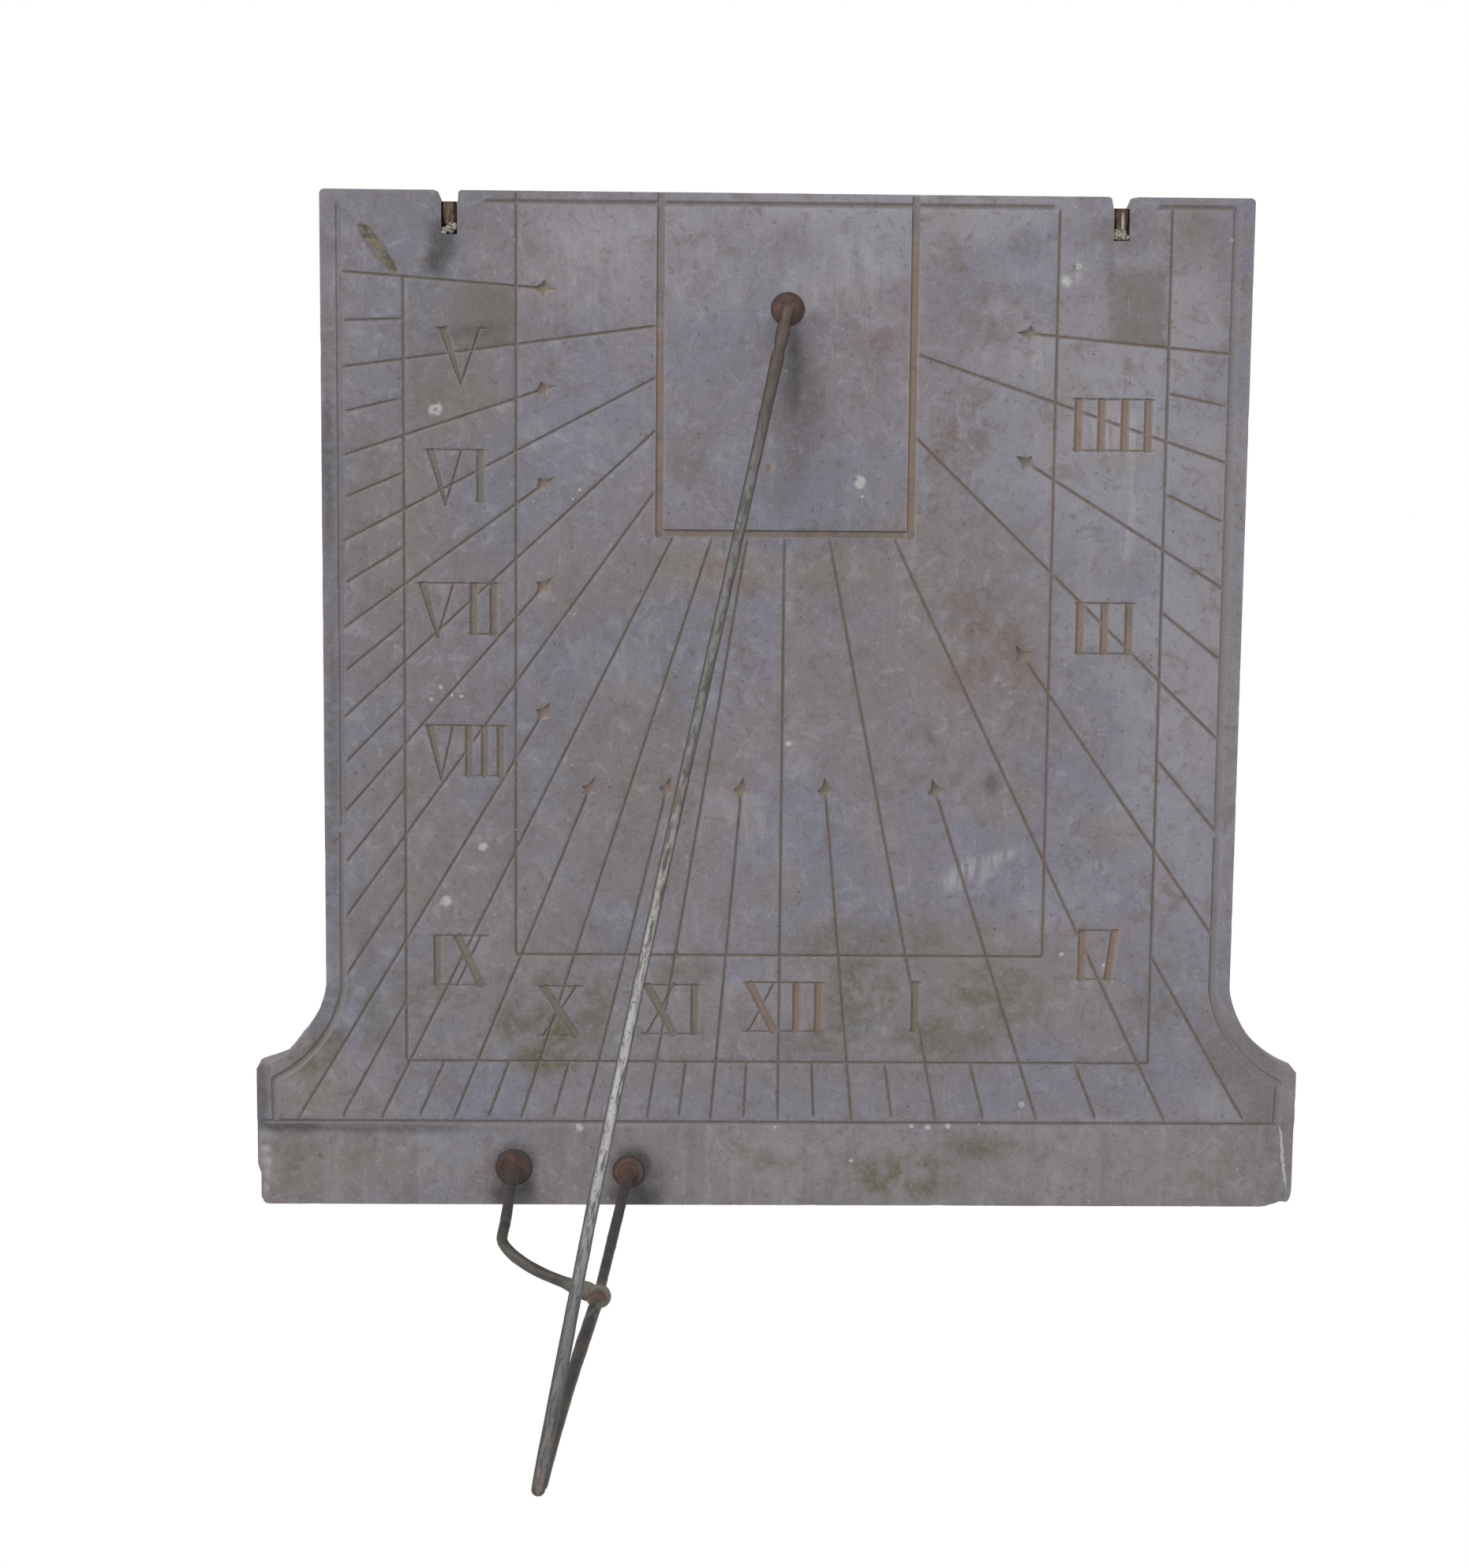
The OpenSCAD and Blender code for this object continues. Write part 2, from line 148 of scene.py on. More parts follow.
# The slab's outline and the layout of the dial
slab = {
    "baseStep": 45, "baseHeight": 90, "coveHeight": 54, "coveRadius": 70,
    "cornerRadius": 3.0, "shoulderRadius": 1.6, "footRadius": 5.0, "mouthRadius": 2.4,
    "notches": ((-210, 3.0, 0.4), (207, 1.5, 3.0)),   # middle, flare on the left, flare on the right
    "notchWidth": 10.6, "notchHeight": 7.0, "notchFootRadius": 0.6,
    "step": 3.2,              # spacing of points along the outline
    "grid": 5.2,              # spacing of points over the plain face
    "arris": 0.6, "arrisWear": 0.5, "chip": 1.2,
    "waves": 0.35,            # depth of the face's slow unevenness
    "ripple": 0.1,            # depth of its quick unevenness
    "backArris": 0.8, "backWaves": 0.3,
}
# Losses along the edge: their depth, where they start, and half their length
edgeWear = {
    "all": 0.12,
    "leftStep": 2.0, "leftStepFrom": (-330, -550),
    "leftCove": 2.6, "leftCoveFrom": (-318, -487), "leftCoveHalf": 11,
    "footChip": 3.6, "footChipFrom": (328, -565), "footChipHalf": 12,
}
halfBody = halfBase - slab["baseStep"]
notchFloor = topY - slab["notchHeight"]
dial = {
    "latitude": 52.5, "declination": 24, "margin": 11.5, "topMargin": 7,
    # degrees by which the earliest line was cut too low, and over which hours this grows
    "earlySlip": 1.0, "slipFrom": -6.1, "slipHours": 1.4,
    "quarterStrip": 40, "numeralStrip": 70, "panelWidth": 158, "panelDrop": 140, "bandHeight": 55,
    "line": 2.8, "lineDepth": 0.9, "rayShort": 1.2, "flareLength": 1.8,
    "border": 3.4, "sideBorder": 5.4, "topLine": 4.4, "panel": 5.4, "grooveDepth": 1.5,
    "panelChange": (-10, 42),  # where the panel's left and right sides change from rusty to bare
    "dartHead": 9.5, "dartTail": 8.0, "dartHalf": 5.9, "dartHollow": 0.78, "dartSteep": 2.6, "dartSpan": 4,
    "dartSideInset": 17, "dartRise": 107,
    "numeralHeight": 34, "thick": 6.2, "thin": 2.1, "serif": 2.0, "serifOver": 5,
    "firstHalfHour": -7.5, "lastHalfHour": 4.5,
}
bandY = footY + dial["bandHeight"]
halfBorder = halfBody - dial["margin"]
halfOuter = halfBorder - dial["quarterStrip"]
halfInner = halfOuter - dial["numeralStrip"]
halfPanel = dial["panelWidth"] / 2
outerY = bandY + dial["quarterStrip"]
innerY = outerY + dial["numeralStrip"]
topLineY = topY - dial["topMargin"]

# Middle of the hollow curve's circle, which lies beside the upright side
coveChord = math.hypot(slab["baseStep"], slab["coveHeight"])
coveGap = math.sqrt(slab["coveRadius"] ** 2 - coveChord ** 2 / 4)
coveMiddle = np.array([halfBody + slab["baseStep"] / 2 + coveGap * slab["coveHeight"] / coveChord,
                       footY + slab["baseHeight"] + slab["coveHeight"] / 2
                       + coveGap * slab["baseStep"] / coveChord])


def coveAt(x, inset):
    # the curve's height over a place: the circle's middle less sqrt(radius^2 - distance^2)
    return coveMiddle[1] - math.sqrt((slab["coveRadius"] + inset) ** 2 - (x - coveMiddle[0]) ** 2)


def covePoints(inset=0.0, steps=22):
    # the hollow curve is an arc between the base's end and the upright side
    base, side = halfBase - inset, halfBody - inset
    ends = [np.array([x, coveAt(x, inset)]) - coveMiddle for x in (base, side)]
    first, last = [math.atan2(v[1], v[0]) % (2 * math.pi) for v in ends]
    angles = np.linspace(first, last, steps)
    return coveMiddle + (slab["coveRadius"] + inset) * np.stack([np.cos(angles), np.sin(angles)], 1)


def resample(points, step):
    # adds points on the straight stretches so that none is longer than the step
    out = []
    for a, b in zip(points[:-1], points[1:]):
        n = max(1, math.ceil(np.hypot(*(b - a)) / step))
        out.append(a + (b - a) * np.linspace(0, 1, n, endpoint=False)[:, None])
    return np.concatenate(out + [points[-1:]])


def roundCorner(before, corner, after, radius, steps=6):
    # the arc that touches both sides of a corner
    u = (before - corner) / np.linalg.norm(before - corner)
    v = (after - corner) / np.linalg.norm(after - corner)
    half = math.acos(np.clip(u @ v, -1, 1)) / 2
    middle = corner + (u + v) / np.linalg.norm(u + v) * radius / math.sin(half)
    start = corner + u * radius / math.tan(half) - middle
    end = corner + v * radius / math.tan(half) - middle
    first = math.atan2(start[1], start[0])
    turn = (math.atan2(end[1], end[0]) - first + math.pi) % (2 * math.pi) - math.pi
    angles = first + turn * np.linspace(0, 1, steps)
    return middle + radius * np.stack([np.cos(angles), np.sin(angles)], 1)


def outlineLoop():
    # runs anticlockwise from the middle of the foot, with its corners rounded
    cove = covePoints()
    corners = [((0, footY), 0), ((halfBase, footY), slab["footRadius"])]
    corners += [(cove[0], slab["shoulderRadius"])]
    corners += [(p, 0) for p in cove[2:-1]]
    corners += [((halfBody, cove[-1][1] + 1), 0), ((halfBody, topY), slab["cornerRadius"])]
    left = [((-x, y), r) for (x, y), r in reversed(corners[1:])]
    for middle, leftFlare, rightFlare in reversed(slab["notches"]):
        half = slab["notchWidth"] / 2
        mouth = slab["mouthRadius"]
        foot = slab["notchFootRadius"]
        corners += [((middle + half + rightFlare, topY), mouth), ((middle + half, notchFloor), foot),
                    ((middle - half, notchFloor), foot), ((middle - half - leftFlare, topY), mouth)]
    corners += left
    places = [np.array(p, float) for p, r in corners]
    out = []
    for i, (p, r) in enumerate(corners):
        if r:
            out.append(roundCorner(places[i - 1], places[i], places[(i + 1) % len(places)], r))
        else:
            out.append(places[i][None])
    loop = np.concatenate(out)
    return resample(np.vstack([loop, loop[:1]]), slab["step"])[:-1]


def loopNormals(loop):
    # outward for an anticlockwise loop
    along = np.roll(loop, -1, 0) - np.roll(loop, 1, 0)
    along /= np.linalg.norm(along, axis=1)[:, None]
    return np.stack([along[:, 1], -along[:, 0]], 1)


def brokenEdge(loop):
    # how far the real edge lies inside the straight outline: slow noise, a step and two wedges
    x, y = loop[:, 0], loop[:, 1]

    def wedge(name, fall):
        # deepest at its middle, none at its half length
        fromX, fromY = edgeWear[name + "From"]
        near = np.clip(1 - np.abs(x - fromX) / edgeWear[name + "Half"], 0, 1)
        return edgeWear[name] * near * smoothStep(fromY, fromY + fall, y)

    worn = edgeWear["all"] * layered(flat(x, y), 26, 4, 3)
    stepX, stepY = edgeWear["leftStepFrom"]
    leftStep = edgeWear["leftStep"] * smoothStep(stepX, stepX - 3, x) * smoothStep(stepY, stepY - 3, y)
    return worn + leftStep + wedge("leftCove", 3) + wedge("footChip", -7)


def hourAngle(hours):
    # angle of an hour line from straight down, on a wall that declines towards the east: the tangent
    # is cos(lat) sin(h) / (cos(dec) cos(h) - sin(dec) sin(lat) sin(h))
    h, lat, dec = [math.radians(a) for a in (15 * hours, dial["latitude"], dial["declination"])]
    early = max(0.0, (dial["slipFrom"] - hours) / dial["slipHours"])
    return math.radians(dial["earlySlip"]) * early ** 1.2 + math.atan2(
        math.cos(lat) * math.sin(h),
        math.cos(dec) * math.cos(h) - math.sin(dec) * math.sin(lat) * math.sin(h))


def reach(angle, half, foot):
    # distance from the dial centre to a frame along an angle
    side = half / max(abs(math.sin(angle)), 1e-4)
    return min(side, -foot / math.cos(angle)) if math.cos(angle) > 1e-4 else side


def borderReach(angle):
    # distance to the border, which flares out along the hollow curves
    straight = reach(angle, halfBorder, bandY)
    if -straight * math.cos(angle) > coveAt(halfBorder, dial["margin"]):
        return straight
    near = abs(math.sin(angle)) * coveMiddle[0] - math.cos(angle) * coveMiddle[1]
    inside = near ** 2 - coveMiddle @ coveMiddle + (slab["coveRadius"] + dial["margin"]) ** 2
    band = -bandY / math.cos(angle)
    return min(near - math.sqrt(inside), band) if inside > 0 else band


# Each groove is a line of points, or a star when it has a way. flatness is the share of its width that
# is flat ground, faint weakens its stain, its shade strength paints shade on its upper wall, rim paints a
# highlight on the slate beside it, bare leaves its ground the colour of slate, and taper and flare change
# its width along it.
grooves = []
plainFinish = {"flatness": 0.0, "rust": 0.3, "algae": 0.3, "ends": 1.2, "faint": 0.0, "lee": 0.7,
               "rim": 0.0, "bare": 0.0, "taper": 0.0, "flare": 0.0, "way": None}


def addGroove(points, width, depth, **finish):
    # finish holds what differs from plainFinish
    groove = dict(plainFinish, points=np.array(points, float), half=width / 2, depth=depth)
    groove.update(finish)
    grooves.append(groove)


def halfAt(g, along, length):
    # half the width of a groove, wider by the flare at both ends and narrower by the taper at its foot
    end = np.minimum(along, length - along)
    return g["half"] * (1 - g["taper"] * np.clip(along / length, 0, 1)) * (
        1 + g["flare"] * np.exp(-np.clip(end, 0, None) / dial["flareLength"]))


def addRay(hours, start, end, **finish):
    # a groove from the dial centre outwards, between two distances along its hour's angle
    a = hourAngle(hours)
    way = np.array([math.sin(a), -math.cos(a)])
    ends = [way * start, way * (end - dial["rayShort"])]
    addGroove(ends, dial["line"], dial["lineDepth"], ends=2.5, **finish)


def lineStain(hours):
    # rust runs on the lines to the right, and algae on the ones to the left
    return {"rust": 0.2 + 0.6 * (hours > 0.4), "algae": 0.5 - 0.3 * (hours > 0.4)}


def layOutHours():
    # whole hours from the panel, halves from their dart, quarters in the outer strip
    first, last = dial["firstHalfHour"], dial["lastHalfHour"]
    for h in np.arange(math.ceil(first), math.floor(last) + 1):
        a = hourAngle(h)
        addRay(h, reach(a, halfPanel + 2, -dial["panelDrop"] - 2), borderReach(a), **lineStain(h))
    for h in np.arange(first, last + 0.1):
        a = hourAngle(h)
        start = reach(a, halfInner - dial["dartSideInset"], innerY + dial["dartRise"])
        addRay(h, start + 3, borderReach(a), **lineStain(h))
        way = np.array([math.sin(a), -math.cos(a)])
        side = float(h > 0)
        addGroove([way * start] * 2, dial["dartHalf"] * 2, dial["grooveDepth"], way=way,
                  rust=0.7 - 0.3 * side, algae=0.4 + 0.3 * side)
    for h in np.arange(first + 0.25, last, 0.5):
        a = hourAngle(h)
        addRay(h, reach(a, halfOuter, outerY), borderReach(a) - 1.5, faint=0.1, **lineStain(h))


def layOutFrames():
    # two frames for the quarters and the numerals, and the panel, whose sides change finish part way up
    line = dict(width=dial["line"], depth=dial["lineDepth"], ends=0.3)
    outerTop = halfOuter / math.tan(hourAngle(dial["firstHalfHour"]))
    addGroove([(-halfOuter, outerY), (-halfOuter, outerTop)], algae=0.6, **line)
    addGroove([(halfOuter, outerY), (halfOuter, topLineY)], algae=0.5, faint=0.1, **line)
    addGroove([(-halfOuter, outerY), (halfOuter, outerY)], algae=0.4, faint=0.25, **line)
    addGroove([(-halfInner, innerY), (-halfInner, topY + 1)], algae=0.2, **line)
    addGroove([(halfInner, innerY), (halfInner, topLineY)], rust=0.9, algae=0.0, faint=0.1, **line)
    addGroove([(-halfInner, innerY), (halfInner, innerY)], algae=0.9, faint=0.1, **line)
    panel = dict(width=dial["panel"], depth=dial["grooveDepth"], flatness=0.6, algae=0.15, ends=0.5, lee=0.8)
    drop, half = -dial["panelDrop"], dial["panel"] / 2
    left, right = dial["panelChange"]
    addGroove([(-halfPanel, drop - half), (-halfPanel, left)], rust=0.8, rim=0.8, **panel)
    addGroove([(-halfPanel, left - 1), (-halfPanel, topY + 1)], rust=0.1, rim=0.6, bare=0.45, **panel)
    addGroove([(halfPanel, drop - half), (halfPanel, right)], rust=1.0, rim=0.9, **panel)
    addGroove([(halfPanel, right - 1), (halfPanel, topY + 1)], rust=0.2, rim=0.3, bare=0.4, **panel)
    addGroove([(-halfPanel - half, drop), (halfPanel + half, drop)], rust=0.4, **dict(panel, lee=1.0))


def layOutBorder():
    # along the base, up the hollow curves and the sides, and across the top
    border = dict(depth=dial["grooveDepth"] * 0.7, rust=0.2, algae=0.2, ends=0.4)
    low = [(halfBase - dial["margin"] - 0.6, bandY), *covePoints(dial["margin"]), (halfBorder, -330)]
    high = [(halfBorder, -329), (halfBorder, topLineY)]
    side = dict(border, flatness=0.55, bare=0.9)
    addGroove(low, dial["sideBorder"], lee=1.0, rim=0.4, faint=0.1, **side)
    addGroove(high, dial["sideBorder"], lee=0.4, rim=0.3, faint=0.3, **side)
    addGroove([(-x, y) for x, y in low], dial["sideBorder"], lee=0.55, faint=0.3, **side)
    addGroove([(-x, y) for x, y in high], 3.6, lee=0.45, faint=0.75, **side)
    addGroove([(1.5 - halfBase, bandY), (halfBase - dial["margin"], bandY)], dial["border"],
              lee=1.0, bare=0.2, **border)
    # the top line is worn away beside each notch
    top = dict(border, width=dial["topLine"], lee=1.2, bare=0.3)
    addGroove([(-190, topLineY), (-80, topLineY), (halfInner - 3, topLineY)], **top)
    top["width"] += 0.2
    addGroove([(227.6, topLineY + 0.6), (halfBorder, topLineY + 0.3)], **top)


# Letters, middle x and y, gap between letters, width of a V or an X, how rusty and how green the cuts are,
# and how strong the painted highlight beside them is
numeralTable = (
    ("V", -202.5, -29.8, 0, 23.5, 0.1, 0.9, 0.6), ("VI", -206.5, -105, 11.5, 20, 0.0, 0.3, 0.5),
    ("VII", -205, -188.5, 12.5, 20, 0.4, 0.4, 0.3), ("VIII", -200.6, -278.7, 10, 15, 0.45, 0.4, 0.3),
    ("IX", -204.5, -414, 12, 16, 0.2, 0.6, 0.2), ("X", -140.5, -446.8, 0, 22, 0.0, 1.0, 0.2),
    ("XI", -69.7, -445.5, 13, 18, 0.1, 0.8, 0.3), ("XII", 2.7, -443.6, 14, 17, 0.75, 0.4, 0.3),
    ("I", 87.4, -443, 0, 0, 0.2, 1.0, 0.3), ("II", 203.4, -408.5, 19, 0, 0.95, 0.5, 0.7),
    ("III", 202.8, -198, 15.5, 0, 0.9, 0.0, 0.5), ("IIII", 205, -70, 14.6, 0, 0.8, 0.2, 0.8),
)


def addNumeral(letters, x, y, gap, wide, rust, algae, rim):
    # each letter starts where the widths and gaps before it end, and the whole is centred on x
    half = dial["numeralHeight"] / 2
    stain = {"rust": rust, "algae": algae, "ends": 0.5}
    widths = [0 if letter == "I" else wide for letter in letters]
    starts = [sum(widths[:i]) + gap * i for i in range(len(letters))]
    full = starts[-1] + widths[-1]
    middle = np.array([x - full / 2, y])

    def thickStroke(head, foot, **shape):
        # a tapered stroke runs on below the others
        ends = [middle + (head, half), middle + (foot, -half - shape.get("taper", 0) * 3)]
        addGroove(ends, dial["thick"], dial["grooveDepth"], flatness=0.4, rim=rim, flare=0.2, lee=1.0,
                  **stain, **shape)

    def thinStroke(head, foot):
        # a V-cut stroke that flares at its ends
        ends = [middle + (head, half), middle + (foot, -half)]
        addGroove(ends, dial["thin"], dial["lineDepth"], flare=1.2, **stain)

    def serif(a, b, level, faint):
        # a level stroke from a to b
        addGroove([middle + (a, level), middle + (b, level)], dial["serif"], 0.6, rust=0.2, ends=2.5,
                  faint=faint, lee=1.1)

    feet = []
    for letter, at, w in zip(letters, starts, widths):
        if letter == "I":
            # the second stroke of the II leans
            lean = 2.0 if letters == "II" and at else 0.0
            thickStroke(at + lean, at - lean)
            feet.append(at)
        if letter == "V":
            thickStroke(at, at + w / 2, taper=0.7)
            thinStroke(at + w, at + w / 2)
        if letter == "X":
            thickStroke(at, at + w)
            thinStroke(at + w, at)
            feet.append(at)
    over = dial["serifOver"]
    level = half - dial["serif"] / 2
    if letters == "V":
        serif(-over, over, level, 0)
        serif(w - over, w + over, level, 0)
    else:
        serif(-over, full + over, level, 0)
    if feet:
        serif(feet[0] - over, full + over, -level, 0.55)


layOutHours()
layOutFrames()
layOutBorder()
for row in numeralTable:
    addNumeral(*row)
# The small ornament in the panel
addGroove([(-10.4, -95.4), (-10.4, -101.6)], 5.4, 0.9, flatness=0.3, rust=0.5, ends=2.2)
print("laid out", len(grooves), "grooves")

# Sockets are middle x and y, and radius. A channel starts a little under the notch, and its walls lean by
# the difference of the two values.
sockets = {"root": (0.0, 0.0, 10.0), "stay": (-96.0, footY + 22, 10.0), "brace": (-170.0, footY + 25, 11.5)}
socketDepth = 2.0
socketLip = (0.5, -0.3)       # its wall falls from outside the radius to inside it
channel = {"half": 4.85, "depth": 10.0, "length": 20.0, "start": 1.2, "walls": (-0.02, 0.08)}
gouge = {"from": (-264, 48), "to": (-242.5, 19.5), "half": 4.8, "depth": 1.5,
         "low": (-277, 12), "high": (-235, 62), "grid": 1.3}   # corners and spacing of its finer points
bandEnds = {"flake": 2.6, "flakeFrom": 326.5, "bevel": 2.0, "bevelFrom": 326.5}   # depths, and x outwards
upperLeft = np.array([-0.66, 0.75])   # the side of a cut that faces away from the light, which is painted in shade


def segmentPlace(x, y, a, b):
    # distance along a segment, distance to the left of its line, its length, and the way to its left
    length = np.linalg.norm(b - a)
    way = (b - a) / length
    dx, dy = x - a[0], y - a[1]
    return dx * way[0] + dy * way[1], dy * way[0] - dx * way[1], length, np.array([-way[1], way[0]])


def gougePlace(x, y):
    # places along and beside the gouge, the distance from its middle line, and its half width there:
    # half * sin(pi * (0.85 t^0.75 + 0.1))^0.7, t running from 0 to 1 along it
    ends = np.array([gouge["from"], gouge["to"]], float)
    along, aside, length, _ = segmentPlace(x, y, *ends)
    t = np.clip(along / length, 0, 1)
    off = np.hypot(aside, np.maximum(np.maximum(-along, along - length), 0))
    return along, aside, off, gouge["half"] * np.sin(math.pi * (t ** 0.75 * 0.85 + 0.1)) ** 0.7


def starCut(g, x, y):
    # a four-pointed star with hollow sides: (u / length)^hollow + (v / half)^hollow is 1 on its rim
    dx, dy = x - g["points"][0][0], y - g["points"][0][1]
    u = -(dx * g["way"][0] + dy * g["way"][1])
    v = np.abs(dx * g["way"][1] - dy * g["way"][0])
    length = np.where(u > 0, dial["dartHead"], dial["dartTail"])   # the head points at the dial centre
    power = dial["dartHollow"]
    rim = 1 - (np.abs(u) / length) ** power - (v / g["half"]) ** power
    # the star's upper-left side is painted in shade and its lower-right side as a highlight
    wall = (dx * upperLeft[0] + dy * upperLeft[1]) / (np.hypot(dx, dy) + 0.5)
    return np.clip(rim * dial["dartSteep"], 0, 1), -rim * dial["dartSpan"], wall


def lineCut(g, x, y):
    # 1 on the groove's ground and 0 at its edge, the distance outside the edge, and which wall it is
    best, away = np.zeros_like(x), np.full_like(x, 1e3)
    wall = np.zeros_like(x)
    points, slope = g["points"], 1 - g["flatness"]
    last = len(points) - 2
    for i in range(last + 1):
        along, aside, length, normal = segmentPlace(x, y, points[i], points[i + 1])
        beyond = np.maximum(np.maximum(-along, along - length), 0)
        off = np.hypot(aside, beyond)
        half = halfAt(g, along, length)
        cut = np.clip((1 - off / half) / slope, 0, 1)
        if i == 0:
            cut = np.minimum(cut, np.clip(along / g["ends"], 0, 1))
        if i == last:
            cut = np.minimum(cut, np.clip((length - along) / g["ends"], 0, 1))
        nearer = off - half < away
        # the wall on the upper-left side is positive and painted in shade, the other is negative and painted
        # as a highlight
        side = np.sign(aside) * (normal @ upperLeft) * np.clip(off / half / 0.5, 0, 1)
        wall = np.where(nearer, side, wall)
        away = np.minimum(away, off - half)
        best = np.maximum(best, cut)
    return best, away, wall


def cutFace(x, y):
    # depth and finish of the deepest groove at each place, and the distance to the nearest edge
    keys = ("depth", "cut", "wall", "rim", "bare", "cutRust", "cutAlgae", "fill")
    out = {key: np.zeros_like(x) for key in keys}
    out["near"] = np.full_like(x, 1e3)
    for g in grooves:
        low, high = g["points"].min(0) - 16, g["points"].max(0) + 16
        box = np.flatnonzero((x > low[0]) & (x < high[0]) & (y > low[1]) & (y < high[1]))
        cut, away, wall = (lineCut if g["way"] is None else starCut)(g, x[box], y[box])
        out["near"][box] = np.minimum(out["near"][box], away)
        # a painted highlight on the slate just outside the groove's edge
        out["rim"][box] = np.maximum(out["rim"][box], g["rim"] * np.clip(1 - np.abs(away - 0.1) / 1.1, 0, 1))
        deeper = (away < 0.25) & (cut * g["depth"] >= out["depth"][box])
        spot = box[deeper]
        out["depth"][spot] = cut[deeper] * g["depth"]
        out["cut"][spot] = cut[deeper] * (1 - g["faint"])
        out["wall"][spot] = wall[deeper] * np.where(wall[deeper] > 0, g["lee"], 1 - g["faint"])
        out["bare"][spot] = g["bare"]
        out["cutRust"][spot] = g["rust"]
        out["cutAlgae"][spot] = g["algae"]
        out["fill"][spot] = g["flatness"] > 0.1 or g["way"] is not None
    return out


def featureDepth(x, y):
    # sockets, the two channels, the gouge, the flaked right end of the band and its bevelled left end
    depth = np.zeros_like(x)
    for cx, cy, r in sockets.values():
        outer, inner = [r + lip for lip in socketLip]
        depth = np.maximum(depth, socketDepth * smoothStep(outer, inner, np.hypot(x - cx, y - cy)))
    for middle, _, _ in slab["notches"]:
        inside = (np.abs(x - middle) < channel["half"]) & (y > notchFloor - channel["length"])
        hollow = channel["depth"] / 2 + np.sqrt(np.clip(channel["half"] ** 2 - (x - middle) ** 2, 0, None))
        depth = np.where(inside, hollow, depth)
    along, aside, off, wide = gougePlace(x, y)
    bite = np.clip(1 - off / wide, 0, 1)
    ridges = 0.55 + 0.9 * noise(flat(along * 0.25, aside * 1.5), 1.8, 9)
    depth = np.maximum(depth, gouge["depth"] * np.minimum(bite * 2.2, 1) * ridges * (bite > 0))
    ragged = x + 3.0 * noise(flat(x, y), 7, 12)
    flake = smoothStep(bandEnds["flakeFrom"], bandEnds["flakeFrom"] + 4, ragged) * smoothStep(-517, -523, y)
    bevel = smoothStep(bandEnds["bevelFrom"], bandEnds["bevelFrom"] + 4.5, -x)
    bevel = bevel * smoothStep(bandY + 2, bandY - 2, y)
    return np.maximum(np.maximum(depth, bandEnds["flake"] * flake), bandEnds["bevel"] * bevel)


def faceWaves(x, y):
    # slow noise and quick noise, one on the other
    p = flat(x, y)
    return layered(p, 90, 3, 21) * slab["waves"] + noise(p, 9, 22) * slab["ripple"]


def grooveLines(step=3.4):
    # the middle, the walls' feet and both edges of each groove, with the edges a little uneven
    lines = []
    for g in grooves:
        if g["way"] is not None:
            lines += starLines(g)
            continue
        middle = resample(g["points"], 1.3 if g["flare"] else step)
        along = np.gradient(middle, axis=0)
        along /= np.linalg.norm(along, axis=1)[:, None]
        normal = np.stack([along[:, 1], -along[:, 0]], 1)
        lines.append(middle)
        shares = (1, g["flatness"]) if g["flatness"] > 0.1 else (1,)
        gone = np.append(0, np.cumsum(np.hypot(*np.diff(middle, axis=0).T)))
        half = halfAt(g, gone, gone[-1])
        for side in (-1, 1):
            rough = (noise(flat(*middle.T), 5, 30 + side) - 0.5) * 0.3
            for share in shares:
                lines.append(middle + normal * (side * (half * share + rough))[:, None])
            if g["rim"]:
                lines.append(middle + normal * (side * (half + 1.3))[:, None])
    return lines


def starLines(g):
    # the rim of a star and its two ridges
    t = np.linspace(0, 2 * math.pi, 33)
    c, s = np.cos(t), np.sin(t)
    power = 2 / dial["dartHollow"]
    u = np.sign(c) * np.abs(c) ** power * np.where(c > 0, dial["dartHead"], dial["dartTail"])
    v = np.sign(s) * np.abs(s) ** power * g["half"]
    across = np.array([-g["way"][1], g["way"][0]])
    place = g["points"][0]
    rim = place - u[:, None] * g["way"] + v[:, None] * across
    tips = [place - g["way"] * dial["dartHead"], place + g["way"] * dial["dartTail"],
            place + across * g["half"], place - across * g["half"]]
    return [rim] + [resample(np.array([place, tip]), 1.6) for tip in tips]


def circleLine(cx, cy, r, n=40):
    # x = cx + r cos(a), y = cy + r sin(a)
    a = np.linspace(0, 2 * math.pi, n + 1)
    return np.stack([cx + r * np.cos(a), cy + r * np.sin(a)], 1)


def insideLoop(x, y, loop):
    # a point is inside when a level line to its left crosses the loop an odd number of times
    inside = np.zeros(x.shape, bool)
    for (ax, ay), (bx, by) in zip(loop, np.roll(loop, -1, 0)):
        if ay != by:
            crosses = (ay > y) != (by > y)
            inside ^= crosses & (x > ax + (y - ay) / (by - ay) * (bx - ax))
    return inside


def gridPoints(loop, spacing, clear, seed):
    # rows of points with every second row shifted, a little out of place, clear of the edge
    rng = np.random.default_rng(seed)
    low, high = loop.min(0), loop.max(0)
    xs, ys = np.meshgrid(np.arange(low[0], high[0], spacing), np.arange(low[1], high[1], spacing * 0.87))
    xs = xs + (np.arange(len(xs)) % 2)[:, None] * spacing / 2
    p = np.stack([xs.ravel(), ys.ravel()], 1) + rng.uniform(-0.22, 0.22, (xs.size, 2)) * spacing
    p = p[insideLoop(p[:, 0], p[:, 1], loop)]
    gap = np.concatenate([np.min(np.hypot(part[:, None, 0] - loop[None, :, 0],
                                          part[:, None, 1] - loop[None, :, 1]), axis=1)
                          for part in np.array_split(p, 12)])
    return p[gap > clear]


